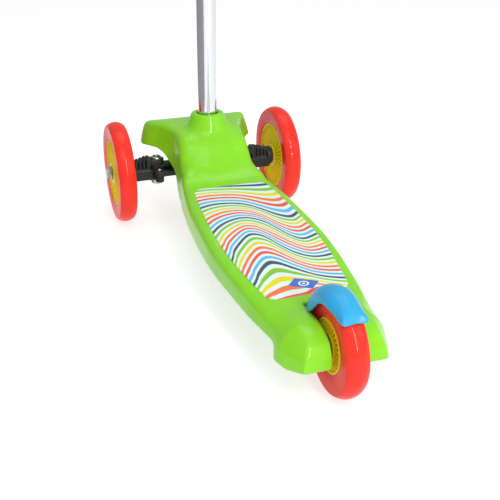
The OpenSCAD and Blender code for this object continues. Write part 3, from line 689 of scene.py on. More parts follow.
def deckShell():
    look = deckLook
    g = Grid(*look["grid"])
    x, y, z = g.x, g.y, g.z
    flat = g.flatY
    # Side view of the outside: a closed outline over the deck, ramp and nose
    s = spline(look["ramp"], 5)
    topLine = [(-60, look["level"] - 60 * look["slope"])] + [tuple(p) for p in s] + [(462.5, 0), (-60, 0)]
    underLine = [tuple(p) for p in look["under"]] + [(480, -20), (-60, -20)]
    dFlat = outlineDistance(y[0], z[0], topLine)
    # The ramp bows out in the middle: each slice across it sits further forward
    bowed = np.interp(flat, (322, 345, 372, 396), (0, 1, 1, 0)) * look["rampBow"]
    dTop = np.empty((len(g.flatX), *dFlat.shape))
    for i, across in enumerate(g.flatX):
        place = np.clip((flat - bowed * min(across, 45) ** 2 - flat[0]) / g.step, 0, len(flat) - 1.01)
        row, part = place.astype(int), (place % 1)[:, None]
        dTop[i] = dFlat[row] * (1 - part) + dFlat[row + 1] * part
    dUnder = outlineDistance(y[0], z[0], underLine)[None]
    half = deckHalf(flat)
    flare = np.interp(flat, *zip(*look["flare"]))
    steep = np.sqrt(1 + flare ** 2 + np.gradient(half, flat) ** 2).reshape(1, -1, 1)
    half, flare = half.reshape(1, -1, 1), flare.reshape(1, -1, 1)
    top = deckTop(flat).reshape(1, -1, 1)
    dSide = (x - half - flare * np.clip(top - z, 0, 60)) / steep
    # Wing ends and nose are rounded in plan
    s = spline(look["nose"], 5)
    noseLine = [tuple(p) for p in s] + [(-20, 464), (-20, -80), (80, -80), (80, 420)]
    dNose = outlineDistance(g.flatX[:, None], g.flatY[None, :], noseLine)[:, :, None]
    dSide = overlap(dSide, dNose, 4)
    edge = np.interp(flat, (395, 430), (look["edge"], look["wingEdge"])).reshape(1, -1, 1)
    outer = overlap(dTop, dSide, edge)
    tail = 17.0 - y
    body = overlap(overlap(outer, tail, 1.0), -dUnder, 1.2)
    # Hollow underneath, with ribs
    thick = look["wall"]
    inner = overlap(overlap(dTop + thick, dSide + thick, 4), tail + thick, 1.0)
    inner = np.maximum(inner, y - 460 + thick)
    ribs = np.minimum(np.abs(x - 30), np.abs(x)) - look["ribHalf"]
    rows = np.abs((y - 78) % look["ribGap"] - look["ribGap"] / 2) - look["ribHalf"]
    ribs = np.minimum(ribs, rows)
    ribs = np.maximum(ribs, np.maximum(y - 345, 44.5 - z))
    body = np.maximum(body, -np.maximum(inner, -ribs))
    # Cheeks that hold the rear wheel
    s = spline(look["cheek"], 5)
    cheekLine = [tuple(p) for p in s] + [(80, 0), (-24, 0)]
    dCheekTop = outlineDistance(y[0], z[0], cheekLine)[None]
    plan = filleted(look["cheekPlan"], 1)
    dPlan = outlineDistance(g.flatX[:, None], g.flatY[None, :], [tuple(p) for p in plan])[:, :, None]
    middle = 26 - 0.4 * np.maximum(10 - y, 0)
    wide, tall = np.maximum(x - middle, 0) / 24.8, np.maximum(z - 26, 0) / 38.8
    shoulder = (np.sqrt(wide ** 2 + tall ** 2) - 1) * 26
    cheekOuter = overlap(overlap(dCheekTop, dPlan, 1.6), shoulder, 2)
    low = np.interp(flat, *zip(*look["skirt"])).reshape(1, -1, 1)
    cheek = overlap(cheekOuter, low - z, 0.8)
    cheekInner = np.maximum(cheekOuter + thick, look["slotHalf"] + thick - x)
    boss = rodDistance(x, y, z, (12, 0, look["axleLevel"]), (22, 0, look["axleLevel"]), 9.5, 0.5)
    cheek = np.maximum(cheek, -np.maximum(cheekInner, -boss))
    body = merged(body, cheek, 3)
    # Flared collar on the raked column
    lean = (columnRow(140) - columnRow(90)) / 50
    axisY = columnRow(90) + (z - 90) * lean
    away = np.sqrt(x ** 2 + (y - axisY) ** 2)
    s = spline(look["collar"], 4)
    wide = np.interp(g.flatZ, s[:, 0], s[:, 1]).reshape(1, 1, -1)
    fall = np.sqrt(1 + np.gradient(wide[0, 0], g.flatZ) ** 2).reshape(1, 1, -1)
    rim = look["rim"] - look["rimTilt"] * np.maximum(y - axisY, 0)
    collar = overlap((away - wide) / fall, z - rim, 1.8)
    collar = np.maximum(collar, 94 - z)
    collar = np.maximum(collar, -np.maximum((away - wide) / fall + 3.2, z - 102))
    body = merged(body, collar, look["collarBlend"])
    # Openings: wheel slot, column bore, button hole, axle and hinge holes
    slotHole = np.maximum(x - look["slotHalf"], y - look["slotFront"])
    slotHole = np.maximum(slotHole, np.minimum(z - 57.4, y - 47.4))
    body = carved(body, slotHole, 1.6)
    body = carved(body, away - look["bore"], 1.2)
    socket = np.maximum(away - 17, np.maximum(z - 110, 91.5 - z))
    body = merged(body, np.maximum(socket, look["bore"] - away), 2)
    button = look["buttonLevel"]
    hole = rodDistance(x, y, z, (0, columnRow(button) + 9, button),
                       (0, columnRow(button) + 40, button - 1.6), 4)
    body = carved(body, hole, 0.8)
    body = carved(body, rodDistance(x, y, z, (0, 0, look["axleLevel"]), (24, 0, look["axleLevel"]), 4))
    # Hangers for the hinge pin, lean bolt and steering rubbers
    for low, high in look["hangers"]:
        body = merged(body, boxDistance(x, y, z, low, high, 0.8), 2)
    body = merged(body, rodDistance(x, y, z, (31, 420, 87), (31, 420, 114), 9, 0.8), 2)
    body = carved(body, rodDistance(x, y, z, (0, 380, 80), (0, 445, 80), 4.05))
    body = carved(body, rodDistance(x, y, z, (0, 51, 55), (22, 51, 55), 2.2))
    values = np.concatenate([body[:0:-1], body])
    g.low[0] = -(body.shape[0] - 1) * g.step
    obj = skinned("deckShell", g, values.astype(np.float32), (0, rearAxle.y, 0))
    thinned(obj, look["keepFaces"])
    return finishPiece(obj, "deck", "green", greenPlastic, "deck_shell")


deckShell()
print("deck shell ready")


fenderLook = {
    "ridge": [(56, 50), (52.5, 54.6), (48.5, 56), (45.6, 60), (43.4, 66), (40.5, 72.5), (36, 79.5), (28, 87),
              (18, 92.6), (8, 95.6), (0, 96.4), (-10, 95.4), (-20, 92.2), (-28, 87.4), (-34, 82.6)],
    "skirt": [(60, 44), (50, 50.5), (42, 54), (34, 58.5), (28, 63), (20, 70), (12, 79), (3, 84), (-8, 85),
              (-17, 84), (-25, 82.4), (-33, 81.4), (-40, 80)],
    "half": [(-36, 10.6), (-31, 10.9), (-24, 12), (-10, 13.6), (5, 14.2), (20, 13.8), (30, 12.6), (38, 11.8),
             (44, 11.6), (60, 11.6)],
    "thick": 2.7,
    "tip": -32.5,
    "tipBow": 0.012,
    "lift": 2.6,
    "pin": (51, 55),
    "pinHole": 2.2,
    "press": 2.4,
    "room": 0.3,
    "grid": ((0, -38, 48), (17, 58, 100), 0.5),
    "keepFaces": 0.6,
}


def brakeFender():
    look = fenderLook
    g = Grid(*look["grid"])
    x, y, z = g.x, g.y, g.z
    ridge = spline(look["ridge"], 5)
    skirt = spline(look["skirt"], 5)
    # The rear lip curls up at its corners, so its height there depends on x
    curl = np.clip((-16 - y) / 16, 0, 1) ** 1.5
    lifted = z - curl * look["lift"] * (x / 12) ** 2
    ridgeLine = [tuple(p) for p in ridge] + [(-60, 0), (80, 0)]
    rise = outlineDistance(g.flatY[:, None], g.flatZ[None, :], ridgeLine)
    dTop = np.stack([np.array([np.interp(lifted[i, j], g.flatZ, rise[j]) for j in range(len(g.flatY))])
                     for i in range(len(g.flatX))])
    order = np.argsort(skirt[:, 0])
    low = np.interp(g.flatY, skirt[order, 0], skirt[order, 1]).reshape(1, -1, 1)
    half = curveHeight(look["half"], g.flatY).reshape(1, -1, 1)
    dSide = x - half - 0.1 * np.clip(90 - z, -10, 40)
    crown = 13 * (1 - curl) + 1.5
    h = np.clip(0.5 + 0.5 * (dTop - dSide) / crown, 0, 1)
    outer = dTop * h + dSide * (1 - h) + crown * h * (1 - h)
    back = look["tip"] - look["tipBow"] * x ** 2 - y
    outer = overlap(outer, back, 6)
    shell = np.maximum(outer, -(outer + look["thick"]))
    shell = overlap(shell, low - z, 1.4)
    # Room for the tyre when the brake is fully pressed
    press = math.radians(look["press"])
    ahead, rise = y - look["pin"][0], z - look["pin"][1]
    pressedY = look["pin"][0] + ahead * math.cos(press) - rise * math.sin(press)
    pressedZ = look["pin"][1] + rise * math.cos(press) + ahead * math.sin(press)
    tread = rearRadius / mm - treadCrown + np.sqrt(np.maximum(treadCrown ** 2 - x ** 2, 0))
    wheelRoom = np.sqrt(pressedY ** 2 + (pressedZ - rearRadius / mm) ** 2) - tread
    wheelRoom = np.maximum(wheelRoom, x - tyreHalf / mm) - look["room"]
    shell = carved(shell, wheelRoom, 0.4)
    barrel = rodDistance(x, y, z, (0, *look["pin"]), (11.6, *look["pin"]), 4.2, 0.6)
    barrel = np.maximum(barrel, 4.8 - x)
    shell = merged(shell, barrel, 1.5)
    rib = np.maximum(np.maximum(np.abs(x - 6) - 0.8, outer), -(outer + 4.4))
    rib = np.maximum(rib, 30 - y)
    shell = merged(shell, rib, 0.8)
    fromPin = np.sqrt((y - look["pin"][0]) ** 2 + (z - look["pin"][1]) ** 2)
    shell = np.maximum(shell, look["pinHole"] - fromPin)
    values = np.concatenate([shell[:0:-1], shell])
    g.low[0] = -(shell.shape[0] - 1) * g.step
    obj = skinned("brakeFender", g, values, (0, rearAxle.y, 0))
    thinned(obj, look["keepFaces"])
    return finishPiece(obj, "brake", "blue", bluePlastic, "brake_fender")


brakeFender()
print("fender ready")


sheetLook = {
    "inset": 11.2,
    "front": 300.8,
    "rear": 57.0,
    "sink": 0.4,
    "raise": 0.9,
    "duty": 0.52,
    "keys": [
        [(-60, 345), (60, 338)],
        [(-60, 304), (-32.5, 303), (-10, 300), (15, 295.5), (37.5, 292.5), (60, 296)],
        [(-60, 249), (-47.5, 253), (-35, 257), (-22, 257.5), (-7, 253.8), (4, 246.5), (15, 232.5), (26, 216),
         (37.5, 207), (49, 215), (60, 222)],
        [(-60, 184), (-48.7, 196), (-40, 206), (-27.5, 215), (-12.5, 219), (0, 213.7), (9, 202.5), (15, 188),
         (22.5, 169), (32.5, 157.8), (49, 163.7), (60, 168)],
        [(-60, 112), (-46, 140), (-40, 153.7), (-30, 167.5), (-20, 178.7), (-12.5, 181.7), (-5, 176.5),
         (0, 167), (7.5, 147.5), (15, 133), (25, 123), (35, 120), (45, 121), (60, 124)],
        [(-60, 66), (-40.5, 91), (-32.5, 105), (-22.5, 118), (-15, 122.7), (-7.5, 118.7), (0, 109),
         (10, 96.5), (20, 86.5), (36, 77.5), (60, 70)],
        [(-60, 44), (-40, 37), (-28, 29), (-15, 26), (-5, 31), (5, 46), (15, 53), (36, 38), (60, 30)],
        [(-60, -20), (60, -20)],
    ],
    "patch": [(-14.2, 77.6), (-4, 88.6), (15.6, 77.6), (5, 66.8)],
    "colours": [rgb(60, 70, 108), rgb(130, 192, 48), rgb(230, 214, 4), rgb(242, 112, 62), rgb(236, 76, 66),
                rgb(86, 180, 240)],
    "ground": rgb(216, 240, 232),
    "patchColour": rgb(48, 112, 204),
    "markColour": rgb(236, 242, 250),
    "weave": 900.0,
    "across": 101,
    "ahead": 243,
}


def sheetMaterial():
    mat, tree, shader = newMaterial("print_sheet")
    phase = put(tree, "ShaderNodeAttribute", attribute_name="stripe").outputs["Fac"]
    patch = put(tree, "ShaderNodeAttribute", attribute_name="patch").outputs["Fac"]
    mark = put(tree, "ShaderNodeAttribute", attribute_name="mark").outputs["Fac"]
    place = put(tree, "ShaderNodeTexCoord").outputs["Object"]
    ink = put(tree, "ShaderNodeTexNoise", {"Vector": place, "Scale": 260.0, "Detail": 3.0}).outputs[0]
    wander = remap(tree, ink, 0.3, 0.7, -0.012, 0.012)
    steps = math2(tree, "MULTIPLY_ADD", phase, 6.0)
    steps.node.inputs[2].default_value = 0.5
    steps = math2(tree, "ADD", steps, wander)
    inBand = math2(tree, "FRACT", steps)
    off = math2(tree, "ABSOLUTE", math2(tree, "SUBTRACT", inBand, 0.5))
    band = remap(tree, off, sheetLook["duty"] / 2 + 0.015, sheetLook["duty"] / 2 - 0.015)
    which = math2(tree, "FRACT", math2(tree, "DIVIDE", math2(tree, "FLOOR", steps), 6.0))
    ramp = tree.nodes.new("ShaderNodeValToRGB")
    ramp.color_ramp.interpolation = "CONSTANT"
    while len(ramp.color_ramp.elements) < 6:
        ramp.color_ramp.elements.new(0.5)
    for i, colour in enumerate(sheetLook["colours"]):
        ramp.color_ramp.elements[i].position = max(0, i / 6 - 0.04)
        ramp.color_ramp.elements[i].color = colour
    tree.links.new(which, ramp.inputs[0])
    wear = useGroup(tree, "wear", amount=0.25, breakup=600.0)
    scuff = useGroup(tree, "scuff", amount=0.14, density=1.4)
    dust = useGroup(tree, "dust", amount=0.08)
    colour = mixed(tree, band, sheetLook["ground"], ramp.outputs[0])
    colour = mixed(tree, remap(tree, patch, 0.0002, -0.0002), colour, sheetLook["patchColour"])
    colour = mixed(tree, remap(tree, mark, 0.0002, -0.0002), colour, sheetLook["markColour"])
    colour = mixed(tree, wear.outputs["Mask"], colour, rgb(236, 240, 238))
    colour = mixed(tree, scuff.outputs["Mask"], colour, rgb(226, 230, 228))
    colour = mixed(tree, dust.outputs["Mask"], colour, rgb(196, 190, 178))
    tree.links.new(colour, shader.inputs["Base Color"])
    # Fine embossed weave of the anti-slip face
    weave = put(tree, "ShaderNodeTexVoronoi", {"Vector": place, "Scale": sheetLook["weave"],
                                               "Randomness": 0.35}, feature="SMOOTH_F1").outputs["Distance"]
    rough = remap(tree, ink, 0.3, 0.7, 0.5, 0.6)
    tree.links.new(math2(tree, "ADD", rough, math2(tree, "MULTIPLY", dust.outputs["Mask"], 0.3)),
                   shader.inputs["Roughness"])
    bump = put(tree, "ShaderNodeBump", {"Strength": 0.35, "Distance": 0.0002, "Height": weave})
    tree.links.new(bump.outputs[0], shader.inputs["Normal"])
    return mat


def gripSheet():
    look = sheetLook
    across = np.linspace(-1, 1, look["across"])
    ahead = np.linspace(0, 1, look["ahead"])
    u, v = np.meshgrid(across, ahead, indexing="ij")
    # Corners are rounded by pulling the ends of the front and rear edges in
    def edgeY(x):
        x = np.abs(x)
        front = look["front"] - 0.062 * np.maximum(x - 32, 0) ** 2
        rear = look["rear"] + 1.2 - 1.2 * np.clip(x / 26, 0, 1) ** 2 + 0.08 * np.maximum(x - 28, 0) ** 2
        return front, rear
    y = look["rear"] + v * (look["front"] - look["rear"])
    for k in range(3):
        x = u * (deckHalf(y) - look["inset"])
        front, rear = edgeY(x)
        y = rear + v * (front - rear)
    n, m = x.shape
    top = deckTop(y) + look["raise"]
    # The rim rolls over to the deck within the last millimetre
    close = np.minimum(np.minimum(np.arange(n)[:, None], n - 1 - np.arange(n)[:, None]),
                       np.minimum(np.arange(m)[None, :], m - 1 - np.arange(m)[None, :]))
    top = np.where(close == 0, top - 0.35, top)
    verts = np.stack([x * mm, rearAxle.y + y * mm, top * mm], 2).reshape(-1, 3)
    faces = [(i * m + j, (i + 1) * m + j, (i + 1) * m + j + 1, i * m + j + 1)
             for i in range(n - 1) for j in range(m - 1)]
    ring = ([(i, 0) for i in range(n)] + [(n - 1, j) for j in range(1, m)]
            + [(i, m - 1) for i in range(n - 2, -1, -1)] + [(0, j) for j in range(m - 2, 0, -1)])
    ring = [i * m + j for i, j in ring]
    start = len(verts)
    lower = verts[ring] - np.array([0, 0, (look["raise"] + look["sink"]) * mm])
    verts = np.concatenate([verts, lower])
    count = len(ring)
    for k in range(count):
        n2 = (k + 1) % count
        faces.append((ring[k], start + k, start + n2, ring[n2]))
    faces.append(tuple(range(start, start + count)))
    obj = newObject("gripSheet", verts, faces)
    flatX, flatY = verts[:, 0] / mm, (verts[:, 1] - rearAxle.y) / mm
    lines = []
    for key in look["keys"]:
        s = spline(key, 8)
        lines.append(np.interp(flatX, s[:, 0], s[:, 1]))
    stripe = np.zeros(len(verts))
    for k in range(len(lines) - 1):
        ahead, behind = lines[k], lines[k + 1]
        within = (flatY <= ahead) & (flatY > behind)
        stripe = np.where(within, k + (ahead - flatY) / (ahead - behind), stripe)
    corners = [tuple(p) for p in filleted(look["patch"] + look["patch"][:2], 1.2)]
    patch = outlineDistance(flatX, flatY, corners[len(corners) // 6:])
    middle = np.mean(look["patch"], axis=0)
    away = np.sqrt((flatX - middle[0]) ** 2 + ((flatY - middle[1]) * 1.15) ** 2)
    mark = np.minimum(np.abs(away - 4.2) - 0.8, away - 1.5)
    for name, values in (("stripe", stripe), ("patch", patch * mm), ("mark", mark * mm)):
        layer = obj.data.attributes.new(name, "FLOAT", "POINT")
        layer.data.foreach_set("value", values.astype(np.float32))
    sharpen(obj, 60)
    return finishPiece(obj, "deck", "print_sheet", sheetMaterial(), "grip_sheet")


gripSheet()
print("grip sheet ready")


tyreLook = {
    "edge": 0.6,
    "steps": 32,
    "hole": 0.42,
    "segments": 192,
}


def tyreOutline(radius, coreRadius):
    look = tyreLook
    half, crown = tyreHalf / mm, treadCrown
    points = []
    reach = math.asin((half - look["edge"]) / crown)
    for k in range(look["steps"] + 1):
        a = -reach + 2 * reach * k / look["steps"]
        points.append((radius - crown + crown * math.cos(a), crown * math.sin(a)))
    shoulder = points[-1][0]
    side = [(shoulder - 0.8, half - 0.05), (shoulder - 2.2, half), (coreRadius + 5.5, half - 0.35),
            (coreRadius + 2.6, half - 0.9), (coreRadius + 1.2, half - 1.5), (coreRadius, half - 1.9),
            (coreRadius - 0.9, half - 2.4), (coreRadius - 1.2, half - 5)]
    hole = coreRadius * look["hole"]
    waist = [(coreRadius - 1.2, 1.2), (hole, 0.9), (hole, -0.9), (coreRadius - 1.2, -1.2)]
    mirrored = [(r, -a) for r, a in side[::-1]]
    return points + side + waist + mirrored + [points[0]]


def tyre(name, centre, radius, coreRadius):
    return turned(name, tyreOutline(radius, coreRadius), centre, (1, 0, 0), tyreLook["segments"], 55)


def bladeMesh(bm, matrix, size, bevel):
    made = bmesh.ops.create_cube(bm, size=1.0, matrix=matrix @ Matrix.Diagonal((*size, 1)))
    edges = list({e for v in made["verts"] for e in v.link_edges})
    bmesh.ops.bevel(bm, geom=edges, offset=bevel, segments=2, affect="EDGES", profile=0.5)


coreLook = {
    "ribFrom": 13.2,
    "ribShort": 1.4,
    "ribNarrow": 3.2,
    "ribThick": 1.3,
    "ribBevel": 0.35,
}


def wheelCore(name, centre, coreRadius, ribs, sunk):
    look = coreLook
    half = tyreHalf / mm
    rim = [(coreRadius - 2.2, -half + 3), (coreRadius - 2, -half + 1.6), (coreRadius - 1.5, -half + 1.1),
           (coreRadius - 0.5, -half + 1.2), (coreRadius, -half + 2.2), (coreRadius, half - 2.2),
           (coreRadius - 0.5, half - 1.2), (coreRadius - 1.5, half - 1.1), (coreRadius - 2, half - 1.6),
           (coreRadius - 2.2, half - 3), (coreRadius - 2.4, 0), (coreRadius - 2.2, -half + 3)]
    hub = [(11, -half + 0.4), (12.6, -half + 0.4), (13.4, -half + 1), (14, -half + 4), (14.3, 0),
           (14, half - 4), (13.4, half - 1), (12.6, half - 0.4), (11, half - 0.4), (11, half - 7.3),
           (8.2, half - 7.4), (8.2, -half + 7.4), (11, -half + 7.3), (11, -half + 0.4)]
    disc = [(13, 2.4 - half), (coreRadius * 0.6, sunk - half), (coreRadius - 2, sunk - half),
            (coreRadius - 2, half - sunk), (coreRadius * 0.6, half - sunk), (13, half - 2.4),
            (13, 2.4 - half)]
    made = [turned(name + "Rim", rim, centre, (1, 0, 0), 144, 30),
            turned(name + "Hub", hub, centre, (1, 0, 0), 96, 30),
            turned(name + "Disc", disc, centre, (1, 0, 0), 96, 30)]
    bm = bmesh.new()
    length = coreRadius - look["ribShort"] - look["ribFrom"]
    size = Vector((2 * half - look["ribNarrow"], look["ribThick"], length)) * mm
    for k in range(ribs):
        turn = Matrix.Rotation(2 * math.pi * k / ribs, 4, "X")
        reach = Matrix.Translation((0, 0, (look["ribFrom"] + length / 2) * mm))
        bladeMesh(bm, Matrix.Translation(centre) @ turn @ reach, size, look["ribBevel"] * mm)
    mesh = bpy.data.meshes.new(name + "Ribs")
    bm.to_mesh(mesh)
    bm.free()
    fins = bpy.data.objects.new(name + "Ribs", mesh)
    bpy.context.scene.collection.objects.link(fins)
    mesh.polygons.foreach_set("use_smooth", [True] * len(mesh.polygons))
    sharpen(fins, 50)
    return joinedObjects(name, made + [fins])


bearingLook = {
    "inside": 4.05,
    "outside": 11,
    "wide": 7,
    "shield": 8.7,
    "inset": 0.3,
}


def bearing(name, centre, side):
    # Outer ring, inner ring and a recessed shield, at one side of the hub
    look = bearingLook
    face = tyreHalf / mm - look["inset"]
    inner, outer, shield, back = look["inside"], look["outside"], look["shield"], face - look["wide"]
    outline = [(inner, back), (inner, face - 0.3), (inner + 0.3, face), (inner + 1.7, face),
               (inner + 2, face - 0.35), (inner + 2.15, face - 0.7), (shield, face - 0.75),
               (shield + 0.2, face - 0.35), (shield + 0.5, face), (outer - 0.3, face), (outer, face - 0.3),
               (outer, back + 0.3), (outer - 0.3, back), (inner, back)]
    return turned(name, outline, centre, (side, 0, 0), 96, 25)


wheelLook = {
    "left": {"centre": Vector((-wheelX, frontAxle.y, frontAxle.z)), "radius": frontRadius / mm, "core": 39.3,
             "ribs": 36, "sunk": 4.0, "body": "left_wheel"},
    "right": {"centre": Vector((wheelX, frontAxle.y, frontAxle.z)), "radius": frontRadius / mm, "core": 39.3,
              "ribs": 36, "sunk": 4.0, "body": "right_wheel"},
    "rear": {"centre": rearAxle, "radius": rearRadius / mm, "core": 24.2, "ribs": 28,
             "sunk": 5.0, "body": "rear_wheel"},
}
spacerOutline = [(4.1, -2.7), (6.2, -2.7, 0.5), (6.2, 2.7, 0.5), (4.1, 2.7), (4.1, -2.7)]


def wheel(side):
    look = wheelLook[side]
    made = tyre(side + "Tyre", look["centre"], look["radius"], look["core"])
    finishPiece(made, look["body"], "tyre_red", tyreRed, side + "_tyre")
    made = wheelCore(side + "Core", look["centre"], look["core"], look["ribs"], look["sunk"])
    finishPiece(made, look["body"], "core_yellow", coreYellow, side + "_core")
    rings = joinedObjects(side + "Bearings", [bearing(side + "Ring", look["centre"], s) for s in (-1, 1)])
    finishPiece(rings, look["body"], "zinc_steel", zincSteel, side + "_bearings")
    sleeve = turned(side + "Spacer", spacerOutline, look["centre"], (1, 0, 0), 64, 30, 0.3)
    finishPiece(sleeve, look["body"], "zinc_steel", zincSteel, side + "_spacer")


for side in wheelLook:
    wheel(side)
print("wheels ready")


fastenerLook = {
    "flats": 13,
    "shank": 4,
    "pitch": 1.25,
    "threadDeep": 0.75,
    "washer": 8,
    "washerThick": 1.2,
    "washerHole": 4.1,
    "rearWasher": 7,
    "rearWasherThick": 2.4,
    "rearHead": 5.2,
    "leanHead": 5,
    "rivet": 6.6,
    "rivetHigh": 3.4,
    "tiePin": 2.5,
}


def hexAt(flats, limit=99.0):
    # Radius of a hexagon that many millimetres across flats, cut by a circle
    def radiusAt(a):
        around = (a % (math.pi / 3)) - math.pi / 6
        return min(flats / 2 / math.cos(around), limit)
    return radiusAt


def headOutline(flats, height, base=0.0):
    # Chamfered hexagon head from its seat outward
    corner = flats / math.sqrt(3)
    steps = [(hexAt(flats, corner - 0.25), base), (hexAt(flats), base + 0.35),
             (hexAt(flats), base + height - 1.3)]
    for k in range(5):
        t = k / 4
        steps.append((hexAt(flats, corner - t * (corner - flats * 0.47)), base + height - 1.1 + 1.1 * t))
    return [(0, base)] + steps + [(flats * 0.3, base + height - 0.02), (0, base + height - 0.25)]


def threadOutline(radius, start, end, pitch=fastenerLook["pitch"]):
    # Plain rings stand for the thread
    points = [(0, start), (radius - 0.9, start)]
    root = radius - fastenerLook["threadDeep"]
    turns = max(1, int((end - start - 0.4) / pitch))
    for k in range(turns):
        a = start + 0.4 + k * pitch
        points += [(root, a), (radius, a + pitch * 0.42), (radius, a + pitch * 0.58), (root, a + pitch)]
    return points + [(root, end), (0, end)]


def nutOutline(flats, hole, height):
    corner = flats / math.sqrt(3)
    cap = lambda t: hexAt(flats, corner - t * (corner - flats * 0.47))
    return [(hole, 0.5), (hole + 0.6, 0), (cap(1), 0), (cap(0.5), 0.5), (cap(0), 1.1), (cap(0), height - 1.1),
            (cap(0.5), height - 0.5), (cap(1), height), (hole + 0.6, height), (hole, height - 0.5),
            (hole, 0.5)]


def washerOutline(hole, radius, thick, base=0.0):
    return [(hole, base + 0.15), (hole + 0.2, base), (radius - 0.25, base), (radius, base + 0.2),
            (radius, base + thick - 0.3), (radius - 0.35, base + thick), (hole + 0.2, base + thick),
            (hole, base + thick - 0.15), (hole, base + 0.15)]


def metalPiece(name, outlines, centre, axis, body, *nodes, segments=96):
    made = [turned(name + str(i), outline, centre, axis, segments, 28) for i, outline in enumerate(outlines)]
    obj = joinedObjects(name, made) if len(made) > 1 else made[0]
    obj.name = name
    return finishPiece(obj, body, "zinc_steel", zincSteel, *nodes)


def spanX(node, side):
    # Lowest and highest reach of a node along X seen from its wheel's side, in millimetres
    low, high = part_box(node)
    a, b = sorted((low[0] * side / mm, high[0] * side / mm))
    return a, b


def frontFasteners(side, sign):
    look = fastenerLook
    flats, thick = look["flats"], look["shank"]
    centre = Vector((0, frontAxle.y, frontAxle.z))
    axis = (sign, 0, 0)
    a, b = spanX(side + "_axle_bolt", sign)
    washerIn, washerOut = spanX(side + "_washers", sign)
    head = headOutline(flats, b - washerOut, washerOut)
    flange = [(0, washerOut), (8.1, washerOut), (8.2, washerOut + 0.5), (7.2, washerOut + 1.4),
              (0, washerOut + 1.6)]
    shank = [(0, a + 14), (thick, a + 14), (thick, washerOut), (0, washerOut)]
    metalPiece(side + "AxleBolt", [head, flange, shank, threadOutline(thick, a, a + 14)], centre, axis,
               side + "_hub", side + "_axle_bolt")
    sizes = look["washerHole"], look["washer"], look["washerThick"]
    pair = [washerOutline(*sizes, washerIn), washerOutline(*sizes, washerOut - look["washerThick"])]
    metalPiece(side + "Washers", pair, centre, axis, side + "_hub", side + "_washers")
    king = boxCentre(side + "_kingpin")
    low, high = (v[2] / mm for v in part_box(side + "_kingpin"))
    seat, wide = high - look["rivetHigh"], look["rivet"]
    rivet = [(0, seat), (wide, seat), (wide, high - 2.8), (6, high - 1.4), (4.6, high - 0.3), (2.6, high),
             (2.2, high - 0.8), (0, high - 1)]
    shank = [(0, low + 8), (thick, low + 8), (thick, seat), (0, seat)]
    foot = Vector((king.x, king.y, 0))
    metalPiece(side + "Kingpin", [rivet, shank, threadOutline(thick, low, low + 8)], foot, (0, 0, 1), "axle",
               side + "_kingpin")
    low, high = (v[2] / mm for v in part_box(side + "_king_nut"))
    nut = nutOutline(flats, thick, high - low)
    seat = foot + Vector((0, 0, low * mm))
    metalPiece(side + "KingNut", [nut], seat, (0, 0, 1), "axle", side + "_king_nut")
    pin = boxCentre(side + "_tie_pin")
    low, high = (v[2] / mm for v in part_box(side + "_tie_pin"))
    stud = [(0, low), (3, low), (4.1, low + 0.5), (4.3, low + 1.6), (4.2, low + 2.4),
            (look["tiePin"], low + 2.5), (look["tiePin"], high - 0.5), (look["tiePin"] - 0.5, high),
            (0, high)]
    foot = Vector((pin.x, pin.y, 0))
    metalPiece(side + "TiePin", [stud], foot, (0, 0, 1), side + "_hub", side + "_tie_pin")


frontFasteners("left", -1)
frontFasteners("right", 1)


def rearFasteners():
    look = fastenerLook
    flats, thick = look["flats"], look["shank"]
    a, b = spanX("rear_axle_bolt", 1)
    seat = b - look["rearHead"]
    shank = [(0, a + 8), (thick, a + 8), (thick, seat), (0, seat)]
    bolt = [headOutline(flats, look["rearHead"], seat), shank, threadOutline(thick, a, a + 8)]
    metalPiece("rearAxleBolt", bolt, rearAxle, (1, 0, 0), "deck", "rear_axle_bolt")
    a, b = spanX("rear_axle_nut", 1)
    nut = nutOutline(flats, thick, b - a)
    metalPiece("rearAxleNut", [nut], rearAxle + Vector((a * mm, 0, 0)), (1, 0, 0), "deck", "rear_axle_nut")
    a, b = spanX("rear_washers", 1)
    sizes = look["washerHole"], look["rearWasher"], look["rearWasherThick"]
    pair = [washerOutline(*sizes, a), washerOutline(*sizes, b - look["rearWasherThick"])]
    metalPiece("rearWashers", pair, rearAxle, (1, 0, 0), "deck", "rear_washers")


rearFasteners()
print("fasteners ready")


def onSide(obj, sign):
    # Mirrors a finished right-hand mesh when the left-hand one is wanted
    if sign < 0:
        bm = bmesh.new()
        bm.from_mesh(obj.data)
        for v in bm.verts:
            v.co.x = -v.co.x
        bmesh.ops.reverse_faces(bm, faces=bm.faces)
        bm.to_mesh(obj.data)
        bm.free()
    return obj


knuckleLook = {
    "king": 56.0,
    "ahead": 420.0,
    "earRadius": 9.0,
    "lowEar": (47.7, 53.6),
    "highEar": (66.4, 72.4),
    "flange": (84.6, 90.1),
    "flangeRadius": 11.5,
    "slatGap": 3.6,
    "slatHalf": 1.0,
    "slatTurn": 52.0,
    "grid": ((45, 397.5, 46), (92, 434, 78), 0.5),
    "tower": [(64.5, 50), (88, 50), (88, 66), (84, 70.5), (70, 74.6), (64.5, 74.6)],
    "pinHole": 4.02,
    "tieHole": 2.52,
    "arm": 16,
}


